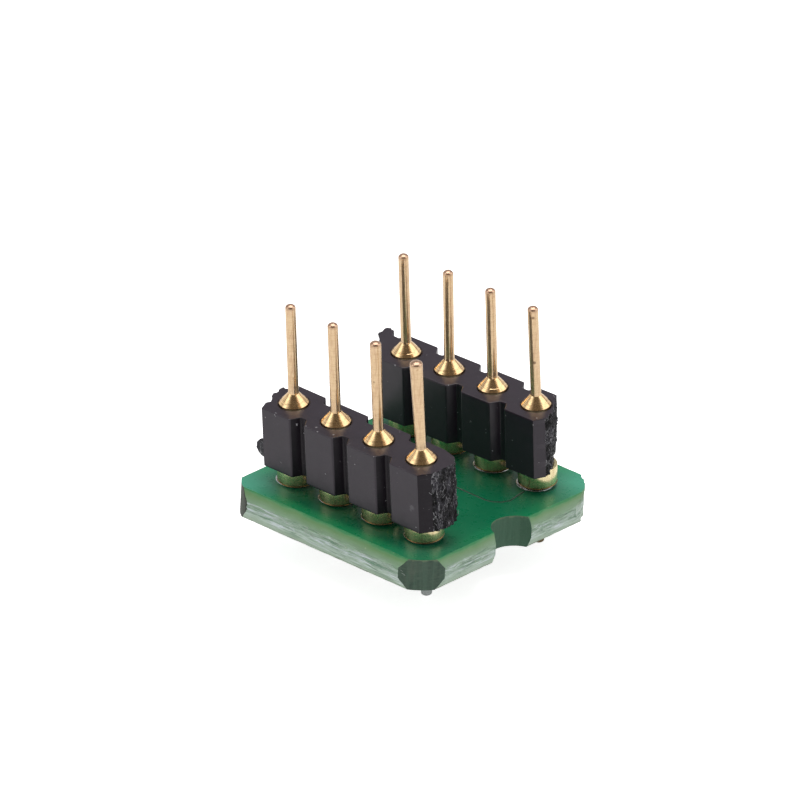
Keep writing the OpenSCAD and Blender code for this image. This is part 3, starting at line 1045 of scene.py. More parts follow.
# Kinds of places along the outline: scored sides, milled corners with the notch, and the torn corner
SCORED, MILLED, TORN = range(3)
CORNER_RADIUS = 2.6
CORNER_POINTS, NOTCH_POINTS, SIDE_STEP = 22, 56, 0.06
# Length of the scored edge at each side of the notch, for the count of its points
NOTCH_SIDE = 4.8
# Each corner's cut as a share of the setting, by its side in x and in y
CUT_SCALE = {(1, 1): 1.2, (-1, 1): 1.0, (-1, -1): 0.8, (1, -1): 0.94}
# Heights near each face of the board that shape its sharp rim, and how far that rim is drawn in
RIM_LEVELS, RIM_EDGE = (0.0, 0.012, 0.03), 0.012
# Counts of levels in each score cut and in the web, and the height where the cuts' levels begin
SIDE_LEVELS, WEB_LEVELS, SIDE_START = 7, 13, 0.06
# The tinned rings lie a little off the holes on the header side
RING_SHIFT = (-0.13, 0.01, 0)
# Depths of the edge's wear: torn web, score cuts, nicks at the rim, milled corners and torn corner
WEB_TEAR, CUT_TEAR, RIM_NICKS, MILLED_WEAR, CORNER_TEAR = 0.10, 0.02, 0.03, 0.008, 0.07
# Distance from a hole's middle to the end of a track, and the track's thickness and corners
RING_REACH, TRACK_THICKNESS, TRACK_CORNER = 1.0, 0.02, 0.45
# Loose glass fibres: count per square metre, and sizes in metres
GLASS_FIBRES = {"Density": 18e6, "Length": 0.5 * MM, "Thickness": 0.006 * MM, "Lift": 0.01,
                "Scatter": 0.05}


def board_outline(offset):
    """The board's outline with its scored sides moved out by offset, and the kind of each point."""
    s = settings().board
    fx, fy = s.length_x / 2, s.width_y / 2
    lean_in = CORNER_RADIUS - s.corner_bulge

    def corner(sx, sy):
        cut = s.corner_cut * CUT_SCALE[sx, sy]
        cx = fx - cut / 2 - lean_in / math.sqrt(2)
        cy = fy - cut / 2 - lean_in / math.sqrt(2)
        low = math.acos(min(0.995, (fx + offset - cx) / CORNER_RADIUS))
        high = math.asin(min(0.995, (fy + offset - cy) / CORNER_RADIUS))
        arc = [(sx * (cx + CORNER_RADIUS * math.cos(a)), sy * (cy + CORNER_RADIUS * math.sin(a)))
               for a in np.linspace(low, high, CORNER_POINTS)]
        return arc if sx * sy > 0 else arc[::-1]

    nx = fx - s.notch_depth + s.notch_radius
    beta = math.acos(max(-1.0, min(1.0, (nx - fx - offset) / s.notch_radius)))
    notch = [(nx + s.notch_radius * math.cos(a), -s.notch_shift + s.notch_radius * math.sin(a))
             for a in np.linspace(math.pi + beta, math.pi - beta, NOTCH_POINTS)]
    arcs = [(corner(1, 1), TORN, NOTCH_SIDE), (corner(-1, 1), MILLED, 2 * fx),
            (corner(-1, -1), MILLED, 2 * fy), (corner(1, -1), MILLED, 2 * fx), (notch, MILLED, NOTCH_SIDE)]
    points, kinds = [], []
    start = notch[-1]
    for arc, kind, side_length in arcs:
        count = int(side_length / SIDE_STEP)
        side = [tuple(Vector(start).lerp(Vector(arc[0]), k / count)) for k in range(1, count)]
        points += side + arc
        kinds += [SCORED] * len(side) + [kind] * len(arc)
        start = arc[-1]
    return points, kinds


def edge_depth(kind, x, y, h, share):
    """How far the edge is worn or torn in. share is the web's share of its reach at that height."""
    if kind == SCORED:
        tear = 0.5 + 0.5 * wobble(x * 0.6, y * 0.6, h * 5.0, 0.45, 4)
        depth = WEB_TEAR * tear * min(1.0, max(0.0, share * 3 - 2)) + CUT_TEAR * tear * share
        if share < 0.2:
            depth += RIM_NICKS * max(0.0, wobble(x, y, 3.1, 0.5)) * (1 - share * 5)
        return depth
    depth = MILLED_WEAR * wobble(x, y, 0.0, 0.15)
    if kind == TORN:
        depth += CORNER_TEAR * (0.4 + wobble(x, y, h * 0.3, 0.30))
    return depth


def board_wall():
    """Levels of the board's edge from low to high, with its kinds. The web is rough, the cuts are fair."""
    s = settings().board
    low, high = board_levels()
    thick = high - low
    web_low, web_high = (thick - s.web_height) / 2, (thick + s.web_height) / 2
    heights = sorted({round(h, 4) for h in (
        *RIM_LEVELS, *np.linspace(SIDE_START, web_low, SIDE_LEVELS),
        *np.linspace(web_low, web_high, WEB_LEVELS),
        *np.linspace(web_high, thick - SIDE_START, SIDE_LEVELS), *(thick - h for h in RIM_LEVELS))})
    levels, kinds = [], None
    for h in heights:
        share = min(h / web_low, (thick - h) / (thick - web_high), 1.0)
        edge = RIM_EDGE if h in (heights[0], heights[-1]) else 0.0
        ring, kinds = board_outline(s.web_proud * max(0.0, share) - edge)
        ring = np.array(ring)
        normal = inward(ring, 1.0) - ring
        for k, (x, y) in enumerate(ring):
            ring[k] += normal[k] * edge_depth(kinds[k], x, y, h, share)
        reach = np.array([s.length_x, s.width_y]) / 2 + s.web_proud - 0.003
        levels.append((low + h, [tuple(p) for p in np.clip(ring, -reach, reach)]))
    return levels, kinds


def hole_stack(x, y, levels, count=48):
    """A round hole through a solid, as (height, radius) levels."""
    return [(z, circle(radius, count, x, y)) for z, radius in levels]


class AMPCHIP_OT_board(bpy.types.Operator):
    """Build the circuit board with its scored edges, milled corners and notch"""
    bl_idname = "ampchip.board"
    bl_label = "Circuit Board"

    def execute(self, context):
        s = settings()
        low, high = board_levels()
        levels, sides = board_wall()
        radius = s.board.hole_radius
        holes = [hole_stack(*pin_place(n), [(low, radius), (high, radius)]) for n in PINS]
        points, faces, kinds, uv = stack(levels, holes)
        mask, laminate, milled, tin = range(4)
        edge = {SCORED: laminate, MILLED: milled, TORN: laminate}
        chosen = [{CAP: mask, WALL: edge[sides[k]], HOLE: tin}[kind] for kind, k in kinds]
        shape = points, faces, kinds, [(u, v - low) for u, v in uv]
        board = solid("circuit_board", shape, finish("solder_mask"), finish("scored_laminate"),
                      finish("milled_laminate"), finish("tin"), chosen=chosen, sharp=40.0)
        hand_over(board, "board", "pcb")
        self.rings(s, low, high)
        self.pads(s, low)
        self.tracks(s, low, high)
        self.fibres(s, levels, sides)
        return {"FINISHED"}

    def rings(self, s, low, high):
        """Tinned rings round the holes."""
        t, inner = s.board.pad_thickness, s.board.hole_radius
        for number in PINS:
            x, y = pin_place(number)
            for side, outer, z, shift in (("upper", s.board.ring_radius, high, RING_SHIFT),
                                          ("lower", s.board.small_ring_radius, low - t, (0, 0, 0))):
                profile = [(inner, z), (outer - 0.01, z), (outer, z + t * 0.4), (outer - 0.02, z + t * 0.9),
                           (outer - 0.05, z + t), (inner, z + t), (inner, z)]
                ring = turned(f"tinned_ring_{side}_{number}", profile, finish("tin"))
                place(ring, Matrix.Translation((x, y, 0)) @ Matrix.Translation(shift))
                hand_over(ring, "solder", "pcb")

    def pads(self, s, low):
        """Tinned pads for the chip's leads."""
        t = s.board.pad_thickness
        w, d = s.chip.lead_width / 2 + 0.05, 0.5
        for number in PINS:
            x = pin_along(number, s.chip.lead_pitch)
            y = pin_side(number) * (s.chip.lead_span / 2 - 0.35)
            ring = rounded(rectangle(x - w, x + w, y - d, y + d), 0.08)
            pad = stack([(low - t, inward(ring, 0.012)), (low - t * 0.6, ring), (low, ring)])
            hand_over(solid(f"tinned_pad_{number}", pad, finish("tin")), "solder", "pcb")

    def tracks(self, s, low, high):
        """Copper tracks under the mask on both faces, in a darker mask that is painted shade."""
        gap = s.header.row_gap / 2
        upper = [[(3.9, gap - RING_REACH), (4.12, 1.45), (3.5, 0.92), (1.2, 0.92), (-2.2, 0.95),
                  (-3.0, 1.8), (-3.7, gap - RING_REACH)]]
        lower = []
        reach = s.chip.lead_span / 2
        for number in PINS:
            side, x = pin_side(number), pin_along(number, s.header.pitch)
            lead = pin_along(number, s.chip.lead_pitch)
            if abs(x) > s.header.pitch:
                lower.append([(lead, side * (reach - 0.8)), (lead * 1.5, side * (reach - 0.95)),
                              (x, side * (gap - RING_REACH)), (x, side * (gap - 0.6))])
            else:
                lower.append([(lead, side * (reach - 0.2)), (x, side * (gap - 0.5))])
        for name, lines, z in (("tracks_upper", upper, high), ("tracks_lower", lower, low)):
            points, edges = [], []
            for line in lines:
                edges += [(len(points) + k, len(points) + k + 1) for k in range(len(line) - 1)]
                points += [(x, y, z) for x, y in line]
            piece = run_tree("Tracks", name, plain_mesh(name, points, edges), finish("mask_over_track"),
                             Width=s.board.track_width * MM, Thickness=TRACK_THICKNESS * MM,
                             Corner_Radius=TRACK_CORNER * MM)
            hand_over(piece, "board", "pcb")

    def fibres(self, s, levels, sides):
        """Loose glass fibres along the snapped web."""
        low, high = board_levels()
        reach = s.board.web_height / 2 + 0.02
        middle = [(z, ring) for z, ring in levels if abs(z - (low + high) / 2) < reach]
        points = [(x, y, z) for z, ring in middle for x, y in ring]
        count = len(sides)
        for name, axis, seed in (("glass_fibres_x", 0, 3), ("glass_fibres_y", 1, 8)):

            def along_axis(row, k):
                """Whether the edge is scored there and runs along the axis."""
                a, b = middle[row][1][k], middle[row][1][k + 1]
                return (sides[k] == sides[k + 1] == SCORED
                        and abs(a[axis] - b[axis]) > abs(a[1 - axis] - b[1 - axis]))

            faces = patch_faces(count, range(len(middle) - 1), along_axis)
            direction = (1.0, 0.0, 0.0) if axis == 0 else (0.0, 1.0, 0.0)
            piece = run_tree("Whiskers", name, plain_mesh(name, points, faces=faces), finish("glass_fibre"),
                             Direction=direction, Seed=seed, **GLASS_FIBRES)
            keep_inside(piece)
            hand_over(piece, "board", "pcb")


# ---- Headers ----

# Outlines of the snapped ends, low and high, from the front round to the rear for the +X ends
# and from the rear round to the front for the -X ends
BREAKS = {
    (FRONT, 1): ([(5.02, -0.70), (5.20, -0.45), (5.27, -0.10), (5.27, 0.30), (5.22, 0.66), (4.90, 0.98)],
                 [(5.00, -0.72), (5.11, -0.42), (5.19, -0.05), (5.20, 0.40), (5.19, 0.72), (4.86, 1.02)]),
    (FRONT, -1): ([(-4.80, 0.76), (-5.05, 0.70), (-5.10, 0.45), (-5.02, 0.10), (-4.86, -0.35),
                   (-4.80, -0.76)],
                  [(-4.83, 0.74), (-5.12, 0.70), (-5.14, 0.52), (-5.02, 0.34), (-5.10, 0.02), (-4.72, -0.45),
                   (-4.80, -0.78)]),
    (REAR, 1): ([(4.92, -0.73), (4.84, -0.30), (4.54, 0.15), (4.16, 0.62), (3.86, 1.22)],
                [(4.93, -0.73), (4.90, -0.30), (4.70, 0.20), (4.40, 0.66), (3.98, 1.22)]),
    (REAR, -1): ([(-5.24, 0.79), (-5.50, 1.20), (-5.98, 1.20), (-5.92, 0.55), (-5.60, 0.05), (-5.22, -0.40),
                  (-4.92, -0.76)],
                 [(-5.24, 0.79), (-5.52, 1.21), (-5.98, 1.19), (-5.92, 0.52), (-5.45, 0.10), (-5.10, -0.35),
                  (-4.90, -0.76)]),
}
BREAK_POINTS = 64
# The rear strip's low outline gives way to its high one this much faster than the height grows
REAR_HASTE = 1.8
# Where the moulded rear side begins at the front strip's +X end and ends at the rear strip's -X end
FRONT_REAR_START, REAR_REAR_END = 4.10, -4.915
# Levels of the strip's wall, where they begin, and the furthest that the strips reach towards -X
STRIP_LEVELS, STRIP_START, STRIP_LIMIT = 60, 0.09, -5.99
# Lumps of the snapped plastic: depth, size and octaves
LUMPS = ((0.08, 0.30, 4), (0.05, 0.10, 3))
# Count of points over which the lumps grow from nothing at a moulded side, and their share there
EASE_POINTS, EASE_START = 7, 0.56
# The torn flap: height of its middle above the strip's underside, half its height, and its reach
FLAP_MIDDLE, FLAP_HALF, FLAP_REACH, FLAP_LEVELS = 0.42, 0.52, 0.62, 25
# Whitened threads: count per square metre, and sizes in metres
THREADS = {"Density": 4e6, "Length": 0.28 * MM, "Thickness": 0.010 * MM, "Lift": 0.03, "Scatter": 0.8}


def header_outline(side, share):
    """A strip's outline at a share of its height, and whether each point is snapped."""
    s = settings().header
    f, w = s.flat / 2, s.width / 2
    e, k = (s.pitch - s.neck_length) / 2, s.neck_width / 2
    front, rear = [], []
    for i in range(4):
        x = (i - 1.5) * s.pitch
        front += [(x - e, -k)] * (i > 0) + [(x - f, -w), (x + f, -w)] + [(x + e, -k)] * (i < 3)
        rear += [(x - e, k)] * (i > 0) + [(x - f, w), (x + f, w)] + [(x + e, k)] * (i < 3)
    rear.reverse()
    if side == FRONT:
        rear[0] = (FRONT_REAR_START, w)
    else:
        rear = [*rear[1:], (REAR_REAR_END, k)]
    reach = min(1.0, share * REAR_HASTE) if side == REAR else share
    runs = []
    for x_side, moulded in ((1, front), (-1, rear)):
        low, high = (even(line, BREAK_POINTS) for line in BREAKS[side, x_side])
        runs += [(round_run(moulded, s.edge * 1.6), False), (low * (1 - reach) + high * reach, True)]
    points = [tuple(p) for run, _ in runs for p in run]
    return np.array(points), [snapped for run, snapped in runs for _ in run]


class AMPCHIP_OT_headers(bpy.types.Operator):
    """Build the two header strips with their snapped ends"""
    bl_idname = "ampchip.headers"
    bl_label = "Header Strips"

    def execute(self, context):
        for side, name in ((FRONT, "header_strip_front"), (REAR, "header_strip_rear")):
            levels, snapped = self.levels(side)
            self.strip(side, name, levels, snapped)
            self.whiskers(side, name, levels, snapped)
            if side == FRONT:
                self.flap(name)
        return {"FINISHED"}

    def levels(self, side):
        """Rings of the strip from low to high, and whether each of their points is snapped."""
        s = settings()
        h = s.header
        small = h.edge * 0.3
        heights = [0.0, small, h.edge, *np.linspace(STRIP_START, h.height - STRIP_START, STRIP_LEVELS),
                   h.height - h.edge, h.height - small, h.height]
        last = len(heights) - 1
        insets = {0: h.edge, 1: small, last - 1: small, last: h.edge}
        levels, kinds = [], None
        for row, height in enumerate(heights):
            ring, kinds = header_outline(side, height / h.height)
            normal = inward(ring, 1.0) - ring
            snapped = np.array(kinds, int)
            wide = np.concatenate([snapped[-(EASE_POINTS // 2):], snapped, snapped[:EASE_POINTS // 2]])
            soft = np.convolve(wide, np.ones(EASE_POINTS) / EASE_POINTS, "valid")
            for k, (x, y) in enumerate(ring):
                if kinds[k]:
                    first, second = (depth * wobble(x, y, height, size, octaves)
                                     for depth, size, octaves in LUMPS)
                    ring[k] += (normal[k] * (first + second + 0.02)
                                * max(0.0, soft[k] - EASE_START) / (1 - EASE_START))
            ring[:, 0] = np.maximum(ring[:, 0], STRIP_LIMIT)
            if row in insets:
                ring = ring + (inward(ring, insets[row]) - ring) * (1 - np.minimum(1, soft))[:, None]
            levels.append((s.pin.flange_height + height, [tuple(p) for p in ring]))
        return levels, kinds

    def strip(self, side, name, levels, snapped):
        """The strip with its holes. In the front strip's grooves the plastic is painted darker, as shade in
        the recesses, and is less glossy.
        """
        s = settings()
        h, r = s.header, s.pin.body_radius
        low, top = s.pin.flange_height, s.pin.flange_height + h.height
        bore = [(low, r + 0.02), (low + 0.02, r), (top - h.flare, r),
                (top - h.flare * 0.4, r + h.flare * 0.55), (top, r + h.flare)]
        shape = stack(levels, [hole_stack((i - 1.5) * h.pitch, 0.0, bore, s.pin.segments) for i in range(4)])
        moulded, torn, groove = range(3)
        materials = [finish("moulded_black"), finish("snapped_plastic")]
        wall = [torn if kind else moulded for kind in snapped]
        if side == FRONT:
            materials.append(finish("moulded_groove"))
            ring = np.array(levels[len(levels) // 2][1])
            middle_y = (ring[:, 1] + np.roll(ring[:, 1], -1)) / 2
            inner = (middle_y > 0.1 - h.width / 2) & (ring[:, 1] < 0)
            wall = [groove if deep and kind == moulded else kind for kind, deep in zip(wall, inner)]
        chosen = [wall[k] if kind == WALL else moulded for kind, k in shape[2]]
        piece = solid(name + "_plastic", shape, *materials, chosen=chosen, matrix=header_matrix(side),
                      sharp=38.0)
        hand_over(piece, "header_plastic", name)

    def flap(self, name):
        """A rounded flap of plastic left hanging on the front strip's snapped neck."""
        middle = settings().pin.flange_height + FLAP_MIDDLE
        levels = []
        for share in np.linspace(-1, 1, FLAP_LEVELS):
            out = FLAP_REACH * math.sqrt(max(0.0, 1 - share ** 2)) + 0.05
            y = -0.62 + 0.05 * share ** 2
            ring = [(-4.78, y + 0.12), (-4.95 - out * 0.5, y + 0.08), (-4.93 - out, y + 0.04),
                    (-4.96 - out, y), (-4.93 - out, y - 0.04), (-4.95 - out * 0.5, y - 0.07),
                    (-4.78, y - 0.10)]
            levels.append((middle + FLAP_HALF * share,
                           [(x + 0.03 * wobble(x, y, share, 0.2), z + 0.02 * wobble(x, z, share * 2, 0.3))
                            for x, z in ring]))
        piece = solid("header_strip_front_flap", stack(levels), finish("snapped_plastic"),
                      matrix=header_matrix(FRONT), sharp=60.0)
        hand_over(piece, "header_plastic", name)

    def whiskers(self, side, name, levels, snapped):
        """Fine whitened threads over the snapped faces."""
        points = [(x, y, z) for z, ring in levels for x, y in ring]
        faces = patch_faces(len(snapped), range(2, len(levels) - 3),
                            lambda row, k: snapped[k] and snapped[k + 1])
        piece = run_tree("Whiskers", name + "_whiskers", plain_mesh(name, points, faces=faces),
                         finish("whiskers"), Direction=(0.0, 0.0, 1.0), Seed=5 + side, **THREADS)
        place(piece, header_matrix(side))
        keep_inside(piece)
        hand_over(piece, "header_plastic", name)


# ---- Pins ----

# Profile of the flange's worn rim: distance out from the flange's radius, and height
FLANGE_RIM = ((-0.012, 0.0), (-0.004, 0.006), (-0.002, 0.014), (-0.006, 0.022), (-0.026, 0.028),
              (-0.026, 0.045), (-0.014, 0.062), (-0.008, 0.10), (-0.008, 0.3))
FLANGE_EDGE = 0.03
# The turned groove under the cone: its depth, and its ends' distances below the cone's wide end
GROOVE_DEPTH, GROOVE_LOW, GROOVE_HIGH = 0.02, 0.17, 0.05
CONE_RINGS, TAIL_RINGS = 8, 15
TIP_HEIGHT, STUB_TIP = 0.16, 0.12
# For pins 1 to 8, how much thicker the free tail is at its tip than at its foot, and its extra
# lean in degrees
TAIL_FLARE = (0.22, 0.09, 0.0, 0.0, 0.0, 0.0, 0.0, 0.03)
TAIL_BEND = (1.3, -0.4, -0.4, -0.6, 0.5, -0.6, 0.4, 1.4)
# The front pins are tinned below this height
TINNED_BELOW = -1.0
FILLET_REACH, FILLET_RISE = 0.68, 0.7


def pin_profile():
    """Half section of a turned pin, from the end of its solder tail to its tip."""
    p = settings().pin
    ring, body, flange, high = cone_foot(), p.body_radius, p.flange_radius, p.flange_height
    line = [(0, -p.stub_length)]
    line += [(p.stub_radius * math.sin(a), -p.stub_length + STUB_TIP * (1 - math.cos(a)))
             for a in np.linspace(0.2, math.pi / 2, 7)]
    line += [(p.stub_radius, -0.02), (p.stub_radius + 0.02, 0.0)]
    line += [(flange + out, z) for out, z in FLANGE_RIM]
    line += [(flange, high - FLANGE_EDGE), (flange - FLANGE_EDGE * 0.3, high - FLANGE_EDGE * 0.3),
             (flange - FLANGE_EDGE, high), (body, high), (body, ring - 0.20),
             (body - GROOVE_DEPTH, ring - GROOVE_LOW), (body - GROOVE_DEPTH, ring - GROOVE_HIGH),
             (body - 0.004, ring - 0.03)]
    foot = body - 0.012
    for k in range(1, CONE_RINGS + 1):
        share = k / CONE_RINGS
        r = foot + (p.tail_radius + 0.01 - foot) * share
        z = ring - 0.015 + (p.cone_height - 0.01) * share
        line += [(r + 0.016, z - 0.026), (r + 0.004, z - 0.004), (r, z)]
    line += [(p.tail_radius + 0.004, ring + p.cone_height + 0.02)]
    straight = p.tail_length - p.cone_height - TIP_HEIGHT
    line += [(p.tail_radius, ring + p.cone_height + straight * k / TAIL_RINGS)
             for k in range(1, TAIL_RINGS + 1)]
    line += [(p.tail_radius * math.cos(a), ring + p.tail_length - TIP_HEIGHT + TIP_HEIGHT * math.sin(a))
             for a in np.linspace(0.15, math.pi / 2 - 0.12, 10)]
    line += [(0.0, ring + p.tail_length)]
    return line


class AMPCHIP_OT_pins(bpy.types.Operator):
    """Build the eight turned pins"""
    bl_idname = "ampchip.pins"
    bl_label = "Turned Pins"

    def execute(self, context):
        s = settings()
        foot = cone_foot() + s.pin.cone_height
        tail = s.pin.tail_length - s.pin.cone_height
        for number, flare, bend in zip(PINS, TAIL_FLARE, TAIL_BEND):
            profile = [(r * (1 + flare * max(0.0, z - foot) / tail), z) for r, z in pin_profile()]
            pin = turned(f"contact_pin_{number}", profile, finish("turned_gold"), s.pin.segments,
                         math.radians(bend), (cone_foot() + 0.1) * MM)
            pin.data.set_sharp_from_angle(angle=math.radians(35))
            if pin_side(number) == FRONT:
                pin.data.materials.append(finish("tin"))
                for face in pin.data.polygons:
                    if face.center.z < TINNED_BELOW * MM:
                        face.material_index = 1
            along_row = pin_along(number, s.header.pitch)
            place(pin, header_matrix(pin_side(number)) @ Matrix.Translation((along_row, 0, 0)))
            hand_over(pin, "gold_plate", f"pin_{number}")
        return {"FINISHED"}


class AMPCHIP_OT_pin_solder(bpy.types.Operator):
    """Build the solder at each pin, on the chip side"""
    bl_idname = "ampchip.pin_solder"
    bl_label = "Pin Solder"

    def execute(self, context):
        s = settings()
        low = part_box("pcb")[0].z / MM
        neck = s.pin.stub_radius + 0.03
        curve = [(neck + (FILLET_REACH - neck) * (1 - math.cos(a)),
                  low - FILLET_RISE + FILLET_RISE * math.sin(a)) for a in np.linspace(0, math.pi / 2, 14)]
        profile = [(0, low - FILLET_RISE - 0.01), *curve, (s.board.hole_radius, low), (0, low)]
        for number in PINS:
            solder = turned(f"solder_joint_{number}", profile, finish("tin"), segments=48)
            lean = s.header.front_lean if pin_side(number) == FRONT else s.header.rear_lean
            for vertex in solder.data.vertices:
                near = vertex.co / MM
                drop = (low - near.z) / FILLET_RISE
                shift = Vector((0.03 * wobble(near.x + number, near.y, near.z, 0.5),
                                math.sin(lean) * (1.5 + drop * FILLET_RISE) * min(1, 0.5 + drop),
                                0.03 * wobble(near.x, near.y + number, 1.0, 0.6)))
                vertex.co += shift * MM * min(1, drop * 3)
            place(solder, Matrix.Translation((*pin_place(number), 0)))
            hand_over(solder, "solder", f"pin_solder_{number}")
        return {"FINISHED"}


# ---- Chip ----

LEAD_HEIGHT = 0.55
DRAFT = 0.12
DIMPLE_RADIUS, DIMPLE_Y, DIMPLE_DEPTH = 0.28, 1.2, 0.07
# The lead's knee from its tip, and where it leaves the sealed frame
KNEE, LEAD_START = 0.75, 1.35
# Levels of the solder at a lead, height and distance drawn in, and how far its top is drawn in
LEAD_FILLET, FILLET_TOP = ((0.0, 0.0), (0.02, 0.012), (0.06, 0.03), (0.11, 0.04)), 0.046


class AMPCHIP_OT_chip(bpy.types.Operator):
    """Build the chip's moulded body and finish what is sealed inside it"""
    bl_idname = "ampchip.chip"
    bl_label = "Chip Body"

    def execute(self, context):
        s = settings().chip
        waist = s.gap + LEAD_HEIGHT + s.lead_thickness / 2
        top = s.gap + s.thickness
        levels = []
        for z, inset in ((s.gap, DRAFT + 0.03), (s.gap + 0.03, DRAFT - 0.004), (waist - 0.03, 0.006),
                         (waist, 0.0), (waist + 0.03, 0.006), (top - 0.05, DRAFT - 0.008),
                         (top - 0.02, DRAFT + 0.01), (top, DRAFT + 0.05)):
            x, y = s.length_x / 2 - inset, s.width_y / 2 - inset
            levels.append((z, rounded([(x, -y), (x, y), (-x, y), (-x, -y)], 0.07, 5)))
        body = solid("chip_moulding", stack(levels), finish("chip_epoxy"), matrix=chip_matrix(), sharp=25.0)
        self.dimple(body, 1.5 * s.lead_pitch, top)
        hand_over(body, "mould_compound", "chip_body")
        inner = {"die_paddle": "bare_copper", "die": "polished_silicon",
                 **{f"bond_wire_{number}": "wire_gold" for number in PINS}}
        for node, name in inner.items():
            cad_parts[node].data.materials.clear()
            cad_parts[node].data.materials.append(finish(name))
        return {"FINISHED"}

    def dimple(self, body, x0, top):
        """Sinks the round mark of pin 1 into the body's top."""
        ring = circle(DIMPLE_RADIUS, 40, x0, DIMPLE_Y)
        floor = [(x0 + (x - x0) * 0.8, DIMPLE_Y + (y - DIMPLE_Y) * 0.8) for x, y in ring]
        plug = stack([(top - DIMPLE_DEPTH, floor), (top - 0.02, ring), (top + 0.2, ring)])
        tool = solid("dimple", plug, finish("chip_epoxy"), matrix=chip_matrix())
        cut = body.modifiers.new("Dimple", "BOOLEAN")
        cut.operation, cut.solver, cut.object = "DIFFERENCE", "EXACT", tool
        bpy.context.view_layer.update()
        mesh = bpy.data.meshes.new_from_object(body.evaluated_get(bpy.context.evaluated_depsgraph_get()))
        body.modifiers.remove(cut)
        body.data = mesh
        bpy.data.objects.remove(tool)
        mesh.set_sharp_from_angle(angle=math.radians(25))


def lead_outline():
    """Side view of a bent lead: outwards and height, counter-clockwise, in the chip's frame."""
    s = settings().chip
    z, t = s.gap + LEAD_HEIGHT, s.lead_thickness
    toe = s.lead_span / 2
    knee = toe - KNEE
    corners = [(LEAD_START, z), (knee, z), (knee + 0.2, 0.0), (toe, 0.0), (toe, t),
               (knee + 0.2 + t * 0.85, t), (knee + t * 0.85, z + t), (LEAD_START, z + t)]
    return rounded(corners, 0.11, 6)


class AMPCHIP_OT_leads(bpy.types.Operator):
    """Build the chip's eight bent leads and the solder at each"""
    bl_idname = "ampchip.leads"
    bl_label = "Chip Leads"

    def execute(self, context):
        s = settings().chip
        w, t, toe = s.lead_width / 2, s.lead_thickness, s.lead_span / 2
        ring = lead_outline()
        edge = inward(ring, 0.015)
        for number in PINS:
            side = -pin_side(number)
            x = pin_along(number, s.lead_pitch)
            upright = Matrix(((0, 0, 1, x), (side, 0, 0, 0), (0, 1, 0, 0), (0, 0, 0, 1)))
            points, faces, *rest = stack([(-w, edge), (-w + 0.015, ring), (w - 0.015, ring), (w, edge)])
            shape = points, [face[::side] for face in faces], *rest
            lead = solid(f"lead_{number}", shape, finish("tin"), matrix=chip_matrix() @ upright)
            hand_over(lead, "tinned_lead", f"chip_lead_{number}")
            half = w + 0.05
            base = rounded(rectangle(x - half, x + half, toe - 0.55, toe + 0.14), 0.09, 5)
            levels = [(z, [(px, side * py) for px, py in inward(base, inset)][::side])
                      for z, inset in (*LEAD_FILLET, (t * 0.8, FILLET_TOP))]
            fillet = solid(f"lead_fillet_{number}", stack(levels), finish("tin"), matrix=chip_matrix())
            hand_over(fillet, "solder", f"lead_solder_{number}")
        return {"FINISHED"}


# ---- Stage ----

FLOOR_HALF, FLOOR_DROP = 2.0, 0.00001
FLOOR_GLOW_COLOR = (1.0, 0.985, 0.985, 1.0)
SENSOR_WIDTH, CLIP = 36.0, (0.01, 5.0)
TOP_LIGHT_SIZE, TOP_LIGHT_PLACE = 0.30, (-0.03, 0.02, 0.35)
# Colour of the dark place where the camera stands, as metal shows it
CAMERA_SIDE_COLOR = (1.0, 0.84, 0.68)
# Turn of the soft boxes' far ends from the camera's direction, in degrees
BOX_TURN = 14


def rays(tree):
    """Whether a ray is the camera's, a reflected one or one that passes through."""
    path = add(tree, "ShaderNodeLightPath")
    return [Value(tree, path.outputs[f"Is {kind} Ray"]) for kind in ("Camera", "Glossy", "Transmission")]


